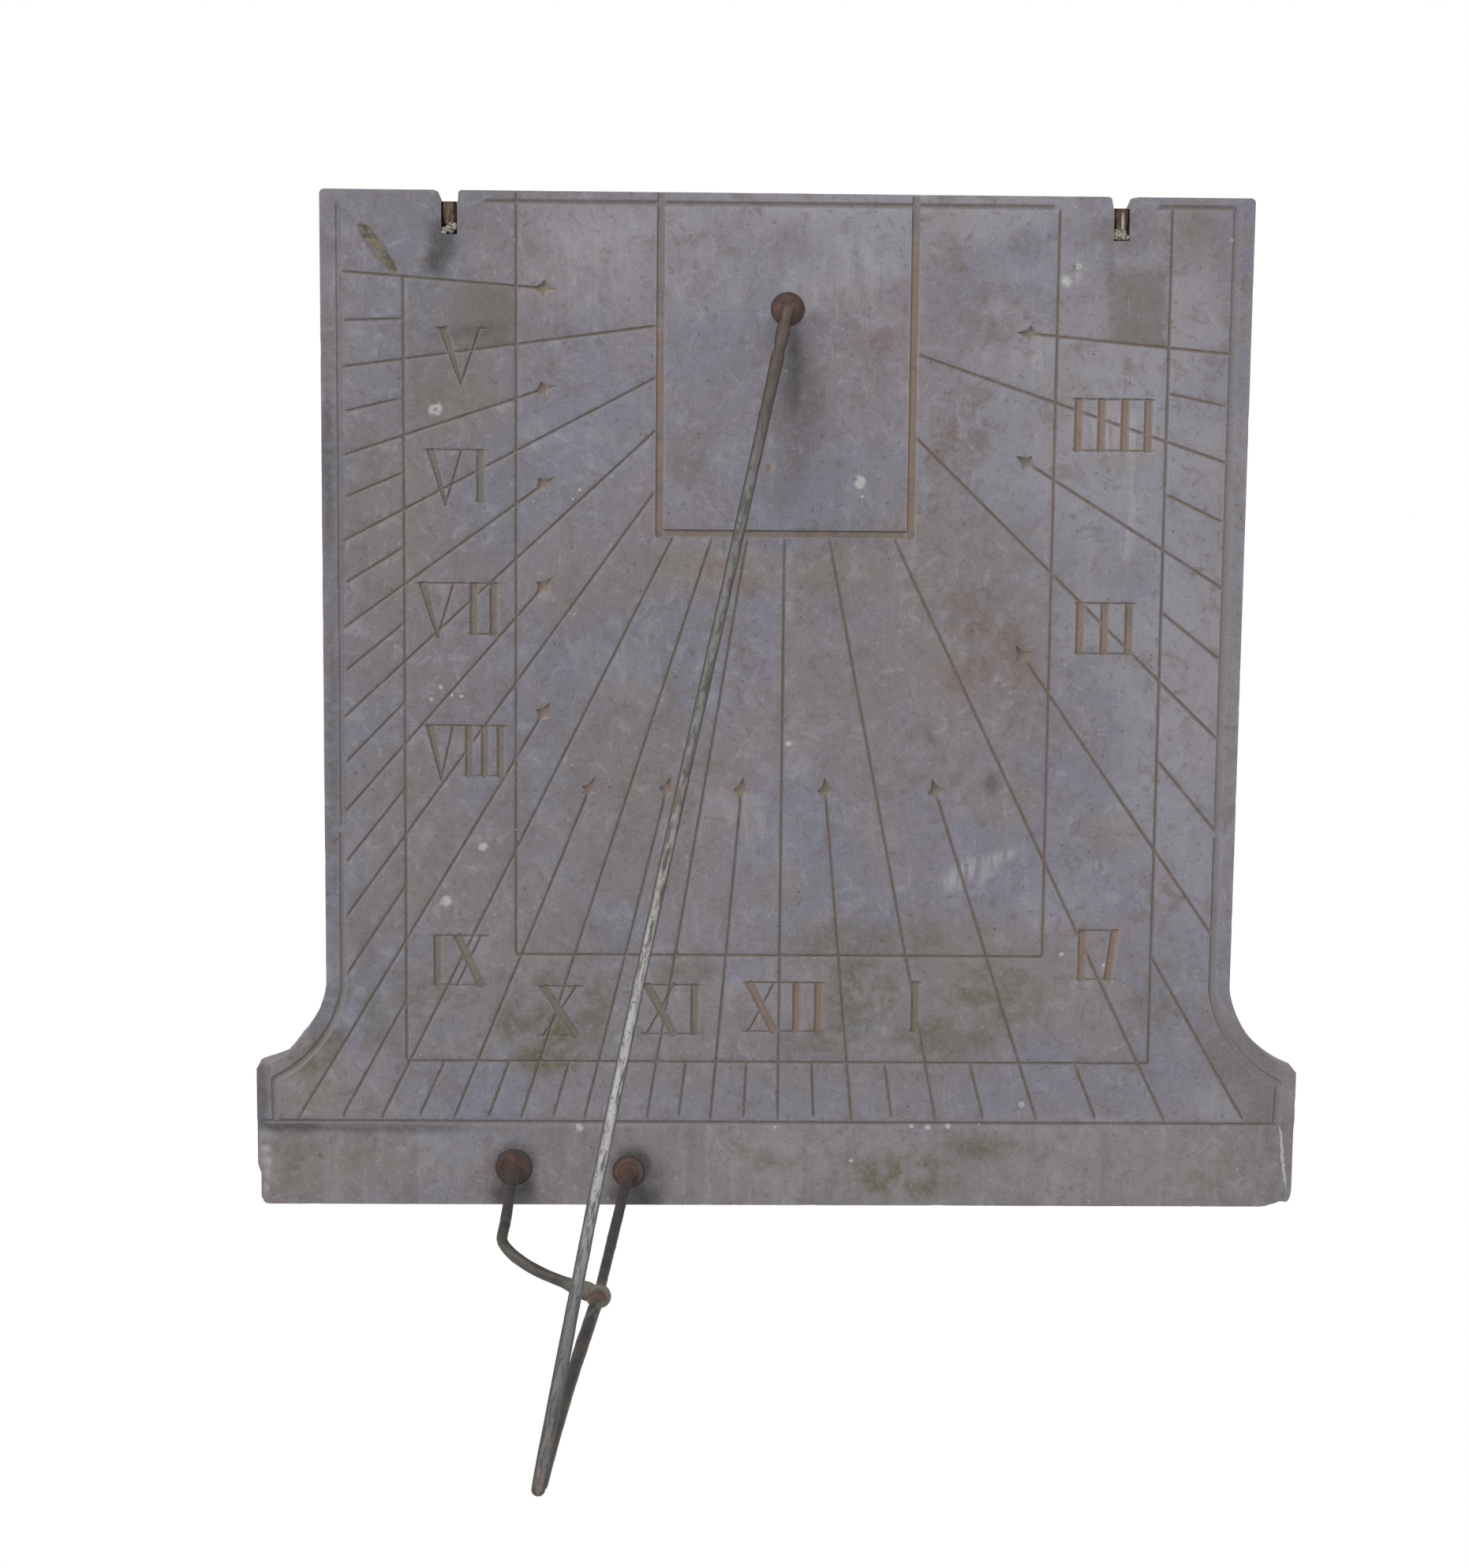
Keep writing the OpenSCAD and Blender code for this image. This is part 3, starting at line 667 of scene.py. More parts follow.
def triangulate(loop, lines, loose):
    # constrained triangles inside the loop, through every line and loose point
    points, edges = [loop], [(i, (i + 1) % len(loop)) for i in range(len(loop))]
    count = len(loop)
    for line in lines:
        edges += [(count + i, count + i + 1) for i in range(len(line) - 1)]
        points.append(line)
        count += len(line)
    points = np.vstack(points + [loose])
    verts, _, faces, *_ = delaunay_2d_cdt(points.tolist(), edges, [], 0, 1e-5, False)
    verts, faces = np.array(verts), np.array(faces)
    middle = verts[faces].mean(1)
    faces = faces[insideLoop(middle[:, 0], middle[:, 1], loop)]
    used, faces = np.unique(faces, return_inverse=True)
    return verts[used], faces.reshape(-1, 3)


def rimOf(faces):
    # an edge is open when no triangle has it the other way round, and the open ones are walked as one loop
    a, b = faces.ravel(), np.roll(faces, -1, 1).ravel()
    count = faces.max() + 1
    isOpen = ~np.isin(a * count + b, b * count + a)
    nextPoint = dict(zip(a[isOpen].tolist(), b[isOpen].tolist()))
    loop = [min(nextPoint)]
    while nextPoint[loop[-1]] != loop[0]:
        loop.append(nextPoint[loop[-1]])
    if len(loop) != len(nextPoint):
        raise ValueError("the slab's rim isn't one loop")
    return np.array(loop)


def faceTriangles(ring):
    # lines for the grooves, the sockets and both walls of each channel, and loose points between them
    lines = grooveLines()
    for cx, cy, r in sockets.values():
        lines += [circleLine(cx, cy, r + lip) for lip in socketLip]
    top = notchFloor - channel["start"]
    for middle, _, _ in slab["notches"]:
        for half in [channel["half"] + wall for wall in channel["walls"]]:
            low = notchFloor - channel["length"] - (half - channel["half"])
            shape = np.array([(middle - half, top), (middle - half, low),
                              (middle + half, low), (middle + half, top)])
            lines.append(resample(shape, 1.2))
    spans = [np.arange(low, high, gouge["grid"]) for low, high in zip(gouge["low"], gouge["high"])]
    gx, gy = np.meshgrid(*spans)
    fine = np.stack([gx.ravel(), gy.ravel()], 1)
    loose = np.vstack([gridPoints(ring, slab["grid"], clear=1.6, seed=50), fine])
    loose = loose[cutFace(*loose.T)["near"] > 0.9]    # none beside the edge of a groove
    return triangulate(ring, lines, loose)


def makeSlab():
    # the face is a height field, z = -depth(x, y), and rows of its rim close it round to the back
    outline = outlineLoop()
    normals = loopNormals(outline)
    outline = outline - normals * brokenEdge(outline)[:, None]
    x, y = outline.T
    notchGap = np.min([np.abs(x - n[0]) for n in slab["notches"]], axis=0)
    chips = smoothStep(0.66, 0.82, noise(flat(x, y), 10, 41)) * smoothStep(12, 18, notchGap)
    arris = slab["arris"] + slab["arrisWear"] * layered(flat(x, y), 18, 3, 40) * smoothStep(8, 14, notchGap)
    arris = arris + slab["chip"] * chips
    ring = outline - normals * arris[:, None]
    flat2d, faces = faceTriangles(ring)
    x, y = flat2d.T
    cuts = cutFace(x, y)
    depth = np.maximum(cuts.pop("depth"), featureDepth(x, y)) + faceWaves(x, y)
    cuts.pop("near")
    rim = rimOf(faces)

    # the rows go over the face's arris, down the edge and round the back's arris
    rimX, rimY = flat2d[rim].T
    rimFlat = np.stack([rimX, rimY], 1)
    outward = loopNormals(rimFlat)
    gap = np.hypot(outline[None, :, 0] - rimX[:, None], outline[None, :, 1] - rimY[:, None])
    out = np.take(arris, gap.argmin(1))
    rows = []
    for k in (1, 2, 3, 4):
        a = math.radians(22.5 * k)
        rows.append((out * math.sin(a), out * (1 - math.cos(a)) * 0.9))
    for down in (0.25, 0.5, 0.75):
        rows.append((out, np.full_like(out, thick * down)))
    back = slab["backArris"]
    for k in (0, 1, 2):
        a = math.radians(45 * k)
        rows.append((out - back * (1 - math.cos(a)), np.full_like(out, thick - back * (1 - math.sin(a)))))
    points = [np.column_stack([x, y, -depth])]
    rimDepth = np.minimum(depth[rim], thick - 1)
    rough = layered(flat(rimX, rimY), 14, 3, 60) * 0.15
    count, previous, quads = len(x), rim, []
    for stand, down in rows:
        place = rimFlat + outward * (stand - rough * (stand >= out * 0.99))[:, None]
        place = np.clip(place, (-halfBase, footY), (halfBase, topY))
        points.append(np.column_stack([place, -np.maximum(down, rimDepth)]))
        current = np.arange(len(rim)) + count
        count += len(rim)
        quads.append(np.stack([previous, current, np.roll(current, -1), np.roll(previous, -1)], 1))
        previous = current
    backPoints, backFaces = backOf(points[-1][:, :2], previous, count)
    points.append(backPoints)
    points = np.vstack(points)
    extra = np.zeros(len(points) - len(x))
    paint = {key: np.append(values, extra) for key, values in cuts.items()}
    paint.update(stainsLightAndShade(points))
    allFaces = faces.tolist() + np.vstack(quads).tolist() + backFaces.tolist()
    makePiece("slateSlab", points, allFaces, "dial_slab", "slate", paint, 32)


def backOf(loop, loopIndex, start):
    # the back's triangles use the last row's points for their rim
    verts, faces = triangulate(loop, [], gridPoints(loop, spacing=14, clear=6, seed=51))
    gap = np.hypot(verts[:, None, 0] - loop[None, :, 0], verts[:, None, 1] - loop[None, :, 1])
    onLoop = gap.min(1) < 1e-3
    index = np.where(onLoop, loopIndex[gap.argmin(1)], start + np.cumsum(~onLoop) - 1)
    depth = thick - slab["backWaves"] * layered(flat(*verts.T), 40, 3, 70)
    return np.column_stack([verts, -depth])[~onLoop], index[faces][:, ::-1]


# Stains, painted light and painted shade: middle x and y, half sizes, turn in degrees, strength. Noise
# breaks up each edge, less so on a patch under looseSize. Each list is one attribute of the slab, which the
# slate's paint reads. The light patches are painted light on broad paler areas, the broad darker patches at
# the end are painted shade, and some dark ones hold painted shade as well as stains.
patchFade = (1.25, 0.45)
looseSize = 45
stainLightShadePatches = {
    "warm": [(0, -365, 18, 16, 0, 0.7), (140, -312, 24, 26, 0, 0.6), (175, -50, 18, 18, 0, 0.6),
             (245, 50, 24, 20, 0, 0.6), (212, -85, 24, 18, 0, 0.5), (210, -332, 24, 18, 0, 0.5),
             (-299, -493, 30, 26, 40, 0.8), (-290, -550, 60, 24, 0, 0.7), (40, -552, 230, 24, 0, 0.5),
             (240, -548, 110, 26, 0, 0.5), (5, -160, 95, 18, 0, 0.9), (12, -225, 16, 70, 0, 0.5),
             (110, -170, 60, 90, 20, 0.6), (60, -250, 60, 120, 10, 0.35), (120, -430, 140, 45, 0, 0.7),
             (-150, -440, 120, 50, 0, 0.5), (-20, -470, 200, 30, 0, 0.5), (203, -430, 40, 60, 0, 0.5),
             (-205, -60, 34, 20, 0, 0.6), (-240, -130, 30, 60, 0, 0.5), (-225, -340, 60, 70, 0, 0.5),
             (-90, -320, 70, 80, 0, 0.5), (95, 45, 20, 30, 0, 0.3), (-130, -170, 40, 40, 0, 0.4)],
    "rusty": [(52, -23, 14, 26, -20, 0.6), (108, -76, 20, 34, -25, 0.9), (100, 20, 14, 24, 0, 0.5),
              (-58, -85, 10, 60, 12, 0.4), (130, -210, 26, 60, 15, 0.6), (35, -140, 40, 12, 0, 0.5),
              (-210, 58, 14, 12, 0, 0.5), (207, 50, 18, 16, 0, 0.6), (-30, -200, 18, 90, 8, 0.4),
              (-50, 12, 14, 12, 0, 0.5), (64, 2, 10, 10, 0, 0.5), (165, -265, 8, 40, 10, 0.5),
              (20, -60, 12, 30, -10, 0.5), (-145, -20, 20, 40, 0, 0.4), (4, -52, 6, 12, 0, 0.7),
              (4, -88, 6, 10, 0, 0.6), (-268, -120, 12, 60, 0, 0.4), (130, -10, 30, 30, 0, 0.4),
              (-62, -95, 14, 20, 0, 0.5), (240, -370, 14, 40, 0, 0.4)],
    "green": [(-312, -548, 6, 22, 0, 0.6), (-158, -458, 28, 16, -10, 1.0), (-150, -478, 24, 12, 0, 1.0),
              (-118, -446, 13, 26, 0, 0.8), (-150, -424, 30, 10, 0, 0.6), (79, -554, 40, 15, 0, 1.0),
              (-5, -546, 20, 8, 0, 0.6), (135, -536, 34, 10, 0, 0.8), (-292, -472, 9, 22, -38, 1.0),
              (-262, -450, 14, 26, 30, 0.5), (52, -432, 26, 26, 0, 0.7), (30, -465, 34, 14, 0, 0.6),
              (110, -462, 36, 16, 0, 0.7), (140, -436, 34, 18, 0, 0.7), (60, -400, 50, 14, 0, 0.5),
              (-60, -425, 30, 16, 0, 0.4), (-230, -432, 26, 14, 0, 0.4), (240, -440, 20, 26, 0, 0.4)],
    # dark stains, with painted shade as well beside the rod's foot, under the band's line and under the plugs
    "dark": [(-214, 38, 11, 19, 2, 0.7), (-218, 27, 8, 11, 0, 0.8), (4, -40, 6, 30, -4, 0.45),
             (-312, -523.5, 30, 5, 0, 0.7), (134, -298, 6, 7, 0, 0.5), (93, -269, 4, 5, 0, 0.5),
             (-170, -548, 16, 16, 0, 0.8), (-93, -550.5, 14, 14, 0, 1.0), (-169, -560, 14, 20, 0, 0.85),
             (-88, -558, 17, 20, 0, 0.5), (-260, -524, 70, 4, 0, 0.5), (-171.5, -568, 17, 12, 0, 0.85),
             (-91, -569, 20, 12, 0, 0.85), (200, 26, 4, 14, 0, 0.3), (-284, -300, 2.5, 120, 0, 0.3),
             (-286, -90, 3, 60, 0, 0.5), (-332, -500, 4, 30, 0, 0.5), (-196, -16, 26, 5, 6, 0.35)],
    "pale": [(118, -357, 20, 9, 25, 0.8), (137, -346, 18, 5, 20, 0.6), (203, -349, 14, 4, -20, 0.5),
             (212, -372, 10, 4, 0, 0.4), (38, 24, 26, 30, 40, 0.3), (-15, -330, 16, 30, 30, 0.3),
             (215, -130, 8, 40, 0, 0.4), (173.5, 18.5, 5.5, 2.6, -10, 1.0), (180.5, 26, 2.4, 8, -15, 1.0),
             (-329, -550, 2.2, 24, 0, 1.0), (60, -330, 22, 8, -20, 0.25), (212, -76, 26, 15, -10, 0.5),
             (157, -32, 4, 18, 0, 0.6), (-130, 20, 40, 34, 0, 0.2), (9, 12, 16, 16, 0, 0.35)],
    "cool": [(-160, -100, 44, 80, 0, 0.8), (-40, -70, 60, 90, 0, 0.6), (40, -110, 50, 50, 0, 0.7),
             (-120, -120, 50, 80, 0, 0.3), (30, 40, 60, 26, 0, 0.4), (20, -380, 90, 50, 0, 0.3),
             (150, -120, 40, 60, 0, 0.3), (-258, -40, 18, 30, 0, 0.7), (180, -500, 120, 16, 0, 0.5),
             (-60, -500, 120, 16, 0, 0.4), (210, -350, 30, 40, 0, 0.4)],
    # painted light: broad areas made paler
    "light": [(60, 62, 150, 20, 0, 1.0), (-112, 48, 48, 24, 0, 0.8), (65, 40, 40, 24, 0, 0.7),
              (215, -60, 90, 120, 0, 0.85), (250, -250, 50, 180, 0, 0.7), (150, -90, 60, 90, 0, 0.5),
              (60, -545, 60, 26, 0, 0.9), (205, -542, 80, 30, 0, 1.0), (-60, 20, 50, 30, 0, 0.4),
              (0, -433, 100, 14, 0, 0.4), (175, -435, 70, 20, 0, 0.5), (-210, -543, 40, 20, 0, 0.4),
              (258, 10, 18, 40, 0, 0.6), (20, -542, 60, 24, 0, 1.0), (35, -540, 20, 12, 0, 1.0),
              (105, 55, 32, 16, 0, 1.0), (205, -190, 44, 26, 0, 0.7), (-105, -225, 26, 20, 0, 0.7),
              (285, -100, 14, 70, 0, 0.8), (250, -85, 20, 60, 0, 0.5), (-70, 55, 30, 14, 0, 0.8),
              (175, 25, 20, 20, 0, 0.6), (245, 25, 30, 20, 0, 0.6), (250, -190, 40, 40, 0, 0.8),
              (290, -505, 24, 16, 0, 0.7), (155, -435, 40, 16, 0, 0.6), (180, -375, 40, 30, 0, 0.5)],
    # painted shade: broad areas made darker, and the rod's shadow beside its foot
    "deep": [(-225, -150, 70, 330, 0, 0.5), (-105, -260, 60, 150, 10, 0.5), (5, -60, 18, 90, -4, 1.0),
             (-262, -400, 14, 60, 0, 0.7), (-300, -452, 30, 16, -40, 0.9), (-175, -15, 30, 30, 0, 0.3),
             (-125, -400, 36, 20, 0, 0.5), (-175, -300, 20, 110, 0, 0.45), (-285, -435, 16, 20, -30, 0.8),
             (-280, -195, 12, 24, 0, 0.7), (-140, -192, 16, 14, 0, 0.6), (-285, -190, 8, 260, 0, 0.7),
             (-300, -470, 20, 26, -40, 0.5), (100, -160, 90, 40, 0, 0.2), (285, -150, 5, 300, 0, 0.5),
             (320, -520, 12, 50, 0, 0.4), (208, 48, 26, 14, 0, 0.5)],
}


def besideLine(x, y, hours):
    # height over an hour's line, whose own y at this x is -x / tan(its angle)
    return y + x / math.tan(hourAngle(hours))


def stainsLightAndShade(points):
    # each patch fades between two shares of its ellipse's radius, gone at the first and full at the second
    x, y, z = points.T
    p = flat(x, y)
    wobble = (layered(p, 30, 4, 80) - 0.5) * 1.1
    onFace = smoothStep(-12, -6, z)
    paint = {}
    for key, patches in stainLightShadePatches.items():
        total = np.zeros_like(x)
        for cx, cy, halfX, halfY, turn, strength in patches:
            a = math.radians(turn)
            u = ((x - cx) * math.cos(a) + (y - cy) * math.sin(a)) / halfX
            v = ((y - cy) * math.cos(a) - (x - cx) * math.sin(a)) / halfY
            loose = min(1.0, max(halfX, halfY) / looseSize)
            total = np.maximum(total, strength * smoothStep(*patchFade, np.hypot(u, v) + wobble * loose))
        paint[key] = total * onFace
    paint["green"] *= smoothStep(0.28, 0.5, layered(p, 7, 3, 81))
    # cells between the lines that are stained evenly: over the V and under it, two beside the right
    # notch, and one that runs into the right hollow curve
    left = smoothStep(-237.5, -235, x) * smoothStep(-169, -171, x) * (0.3 + 0.7 * smoothStep(-225, -180, x))
    left = left * smoothStep(-1, 1, besideLine(x, y, -7)) * smoothStep(1, -1, besideLine(x, y, -7.5))
    below = smoothStep(-238, -232, x) * smoothStep(-180, -200, x) * smoothStep(-75, -60, y)
    below = below * smoothStep(1, -1, besideLine(x, y, -7))
    right = smoothStep(190, 209, x) * smoothStep(237, 235, x) * smoothStep(1, -1, -besideLine(x, y, 4.5))
    right = right * smoothStep(34, 20, y)
    corner = smoothStep(240, 243, x) * smoothStep(276, 270, x) * smoothStep(62, 55, y) * smoothStep(15, 40, y)
    aslant = np.degrees(np.arctan2(x, -y))
    cove = smoothStep(29.9, 30.4, aslant) * smoothStep(bandY, bandY + 3, y) * smoothStep(-440, -470, y)
    cells = [left, below * 0.5, right * 0.8, corner * 0.3, cove * 0.55 * (x < 323)]
    paint["patina"] = np.max(cells, axis=0) * onFace
    paint["below"] = 1 - smoothStep(bandY - 1, bandY + 1, y)
    _, _, off, wide = gougePlace(x, y)
    paint["scar"] = smoothStep(1.15, 0.5, off / wide + (noise(p, 2.4, 83) - 0.5) * 0.7)
    return paint


makeSlab()


# The irons. Where a bar's radius changes, it is given at shares of the rod's length, or at
# distances along the other two bars.
buried = 3.0             # how far each bar runs on inside its plug
rod = {
    "length": 755, "height": 33.6, "lean": 12.8,   # degrees out of the face, and to the left
    "bow": 3.8, "tipShift": 1.2, "shorter": 0.3,
    "shares": (0, 0.03, 0.12, 0.35, 0.6, 0.8, 0.9, 0.97, 1),
    "radii": (3.6, 3.9, 3.6, 3.3, 3.35, 3.5, 3.75, 3.85, 3.6),
    "footRough": 1.3, "roughUntil": (0.14, 0.02), "rough": 0.16, "sides": 28, "step": 2.4,
}
stay = {
    "weldBack": 5, "kink": 2.5, "bow": 1.4,
    "foot": 3.5, "radius": 3.2, "neck": 3.05, "shoulder": 4.5, "outer": 3.9, "tip": 3.1,
    "rough": 0.2, "sides": 28, "step": 2.4,
}
brace = {
    "out": 186, "bend": 34, "sag": 2.6, "short": 3.4,
    "radii": (3.6, 3.4, 3.3, 3.5, 3.4, 3.4),
    "spoonFrom": 22, "spoonTo": 3, "spoonWider": 0.75, "spoonThinner": 0.4,
    "rough": 0.2, "sides": 26, "step": 2.0,
}
eye = {"radius": 7.5, "thickness": 4, "squareness": 0.62, "rough": 0.5, "lit": 0.85}


def unit(v):
    # the vector divided by its own length
    v = np.asarray(v, float)
    return v / np.linalg.norm(v)


height, lean = math.radians(rod["height"]), math.radians(rod["lean"])
rodWay = np.array([-math.sin(lean) * math.cos(height), -math.cos(lean) * math.cos(height), math.sin(height)])
rodTip = rodWay * rod["length"]
weld = rodWay * (rod["length"] - stay["weldBack"])
stayFoot = np.array([sockets["stay"][0], sockets["stay"][1], 0])
braceFoot = np.array([sockets["brace"][0], sockets["brace"][1], 0])
hold = stayFoot + (weld - stayFoot) * brace["out"] / weld[2] + (stay["kink"], 0, 0)
stayWay = unit(hold - stayFoot)
lookedAt = unit((0.05, 0.2, 1.0))   # the way that a bar faces where its painted highlight is brightest, outwards


def ringFaces(rings, sides, start=0, flip=False):
    # the four-sided faces between each ring of points and the next
    i, j = np.meshgrid(np.arange(rings - 1), np.arange(sides), indexing="ij")
    a, b = start + i * sides + j, start + i * sides + (j + 1) % sides
    corners = [a, a + sides, b + sides, b] if flip else [a, b, b + sides, a + sides]
    return np.stack(corners, -1).reshape(-1, 4).tolist()


def poleFaces(pole, ringStart, sides, flip=False):
    # a triangle from the pole to each pair of neighbours on a ring
    ring = ringStart + np.arange(sides)
    after = np.roll(ring, -1)
    pair = (after, ring) if flip else (ring, after)
    return np.stack([np.full(sides, pole), *pair], 1).tolist()


def sweep(path, radius, across, sides, rough=0.12, seed=0, flatten=None):
    # rings of points about a path, each closed at both ends by one point; across stays square to the
    # path, and flatten widens a ring that way and thins it the other way
    along = np.gradient(path, axis=0)
    along /= np.linalg.norm(along, axis=1)[:, None]
    across = np.asarray(across, float) - along * (along @ np.asarray(across, float))[:, None]
    across /= np.linalg.norm(across, axis=1)[:, None]
    up = np.cross(across, along)
    wide = np.ones((len(path), 2)) if flatten is None else flatten
    angles = np.arange(sides) * 2 * math.pi / sides
    ring = (np.cos(angles)[None, :, None] * (across * wide[:, :1])[:, None]
            + np.sin(angles)[None, :, None] * (up * wide[:, 1:])[:, None])
    middle = np.repeat(path, sides, 0)
    spoke = ring.reshape(-1, 3)
    r = np.repeat(radius, sides)
    place = middle + spoke * r[:, None]
    swell = (layered(place, 6, 3, seed) - 0.5) * 2 * rough + (noise(place, 18, seed + 5) - 0.5) * rough
    place = middle + spoke * (r + swell * np.minimum(r, 1.5) / 1.5)[:, None]
    n = len(path)
    faces = ringFaces(n, sides) + poleFaces(n * sides, 0, sides, True)
    faces += poleFaces(n * sides + 1, (n - 1) * sides, sides)
    gone = np.append(0, np.cumsum(np.linalg.norm(np.diff(path, axis=0), axis=1)))
    # lit is 1 where a ring faces lookedAt and 0 where it faces away; the paints use it for painted highlight
    # and painted shade
    lit = np.append(spoke @ lookedAt * 0.5 + 0.5, [0.5, 0.7])
    marks = {"lit": lit, "far": np.append(np.repeat(gone, sides), [0, gone[-1]]),
             "turnX": np.append(np.tile(np.cos(angles), n), [0, 0]),
             "turnY": np.append(np.tile(np.sin(angles), n), [0, 0])}
    return np.vstack([place, path[:1], path[-1:]]), faces, marks


def ballEnds(distance, radius):
    # rounds the radius off to a ball at each end of a path: radius * sqrt(1 - (1 - distance / radius)^2)
    out = radius.copy()
    for gone in (distance, distance[-1] - distance):
        near = np.clip(gone / radius, 0, 1)
        out = np.minimum(out, radius * np.sqrt(np.clip(1 - (1 - near) ** 2, 0, 1)) + 0.02)
    return out


def evenSteps(length, step, ends=3.6, fine=9):
    # even stations along a bar; over a rounded end they follow ends * (1 - cos a), so they crowd at its tip
    cap = ends * (1 - np.cos(np.linspace(0, math.pi / 2, fine)))
    body = np.linspace(ends, length - ends, max(2, int(length / step)))
    return np.concatenate([cap[:-1], body, (length - cap[::-1])[1:]])


def makeRod():
    # straight along its way, bowed to the left by bow * sin(pi t^1.5) + tipShift * t^2
    start = -rodWay * (buried / math.sin(height))
    length = np.linalg.norm(rodTip - start) - rod["shorter"]
    d = evenSteps(length, rod["step"])
    t = np.clip((d - np.linalg.norm(start)) / rod["length"], 0, 1)
    left = np.array([-math.cos(lean), math.sin(lean), 0])
    aside = rod["bow"] * np.sin(math.pi * t ** 1.5) + rod["tipShift"] * t ** 2
    path = start + rodWay * d[:, None] + left * aside[:, None]
    lumps = (noise(flat(d, d * 0), 7, 103) - 0.5) * rod["footRough"]
    radius = np.interp(t, rod["shares"], rod["radii"]) + smoothStep(*rod["roughUntil"], t) * lumps
    radius = ballEnds(d, radius)
    points, faces, marks = sweep(path, radius, np.cross(rodWay, left), rod["sides"], rod["rough"], 100)
    makePiece("gnomonRod", points, faces, "gnomon_rod", "weathered_iron", marks)


def smoothPath(path, times):
    # each time, a point moves to a quarter, a half and a quarter of itself and its neighbours
    for _ in range(times):
        path[1:-1] = (path[:-2] + path[1:-1] * 2 + path[2:]) / 4
    return path


def makeStay():
    # straight to the eye, a shoulder beyond it, then thicker, bowed by a sine, and tapering to the weld
    end = weld - unit(weld - hold) * 1.0
    start = stayFoot - stayWay * buried
    first = np.linalg.norm(hold - start)
    second = np.linalg.norm(end - hold)
    d = evenSteps(first + second, stay["step"])
    path = np.where((d < first)[:, None], start + stayWay * d[:, None],
                    hold + unit(end - hold) * (d - first)[:, None])
    path[:, 0] -= stay["bow"] * np.sin(math.pi * np.clip((d - first) / second, 0, 1))
    path = smoothPath(path, 3)
    stations = [0, 12, first - 40, first - 2, first + 0.2, first + 4, first + 9, first + 60, first + second]
    radii = [stay["foot"], stay["foot"] - 0.05, stay["radius"], stay["neck"], stay["shoulder"],
             stay["shoulder"] - 0.1, stay["outer"], stay["outer"], stay["tip"]]
    radius = ballEnds(d, np.interp(d, stations, radii))
    points, faces, marks = sweep(path, radius, (1, 0, 0), stay["sides"], stay["rough"], 120)
    marks["far"] = marks["far"] - first    # measured from the eye, so less than nothing on the inner length
    makePiece("gnomonStay", points, faces, "gnomon_stay", "dark_iron", marks)


def ringAround(middle, way, hole, sides=40, turns=20):
    # a flat eye with rounded edges: a squared circle carried round the way through its hole
    across = unit(np.cross(way, (0, 1, 0)))
    up = np.cross(way, across)
    a = np.linspace(0, 2 * math.pi, turns, endpoint=False)
    outPart, upPart = [np.sign(v) * np.abs(v) ** eye["squareness"] for v in (np.cos(a), np.sin(a))]
    profileR = (eye["radius"] + hole) / 2 + (eye["radius"] - hole) / 2 * outPart
    profileZ = eye["thickness"] / 2 * upPart
    b = np.linspace(0, 2 * math.pi, sides, endpoint=False)
    ray = np.cos(b)[:, None] * across + np.sin(b)[:, None] * up
    points = middle + (ray[:, None] * profileR[None, :, None] + way * profileZ[None, :, None]).reshape(-1, 3)
    i, j = np.meshgrid(np.arange(sides), np.arange(turns), indexing="ij")
    p, q = i * turns + j, i * turns + (j + 1) % turns
    r, s = ((i + 1) % sides) * turns + (j + 1) % turns, ((i + 1) % sides) * turns + j
    return points, np.stack([p, q, r, s], -1).reshape(-1, 4)


def makeBrace():
    # straight out of the slab, round a quarter bend and level to the eye, into which it widens like a
    # spoon; its arm sags by a sine
    middle = hold - stayWay * eye["thickness"] / 2
    run = middle[:2] - braceFoot[:2]
    runLength = np.linalg.norm(run)
    side = np.array([run[0], run[1], 0]) / runLength
    out = np.array([0, 0, 1.0])
    bend = brace["bend"]
    straight = middle[2] - bend + buried
    arc = bend * math.pi / 2
    length = straight + arc + runLength - bend - brace["short"]
    d = evenSteps(length, brace["step"])
    a = np.clip((d - straight) / bend, 0, math.pi / 2)
    path = (braceFoot - out * buried + out * np.minimum(d, straight)[:, None]
            + side * (bend * (1 - np.cos(a)))[:, None] + out * (bend * np.sin(a))[:, None]
            + side * np.clip(d - straight - arc, 0, None)[:, None])
    share = np.clip((d - straight + 20) / (length - straight + 20), 0, 1)
    path = path - np.cross(out, side) * (brace["sag"] * np.sin(math.pi * share ** 0.85))[:, None]
    stations = [0, 10, straight, straight + arc, length - 20, length]
    radius = ballEnds(d, np.interp(d, stations, brace["radii"]))
    spoon = smoothStep(length - brace["spoonFrom"], length - brace["spoonTo"], d)
    flatten = np.stack([1 + spoon * brace["spoonWider"], 1 - spoon * brace["spoonThinner"]], 1)
    points, faces, marks = sweep(path, radius, np.cross(side, out), brace["sides"], brace["rough"], 140,
                                 flatten)
    ring, ringQuads = ringAround(middle, stayWay, stay["radius"] + 0.1)
    ring = ring + (layered(ring, 6, 3, 150) - 0.5)[:, None] * eye["rough"]
    faces += (ringQuads + len(points)).tolist()
    n = len(ring)
    # the eye is marked as lit nearly all round, so it takes the painted highlight everywhere
    ringMarks = {"lit": np.full(n, eye["lit"]), "far": np.full(n, length),
                 "turnX": np.zeros(n), "turnY": np.zeros(n)}
    marks = {key: np.append(values, ringMarks[key]) for key, values in marks.items()}
    marks["far"] = marks["far"] - length    # measured from the eye
    makePiece("sideBrace", np.vstack([points, ring]), faces, "side_brace", "dark_iron", marks)


makeRod()
makeStay()
makeBrace()
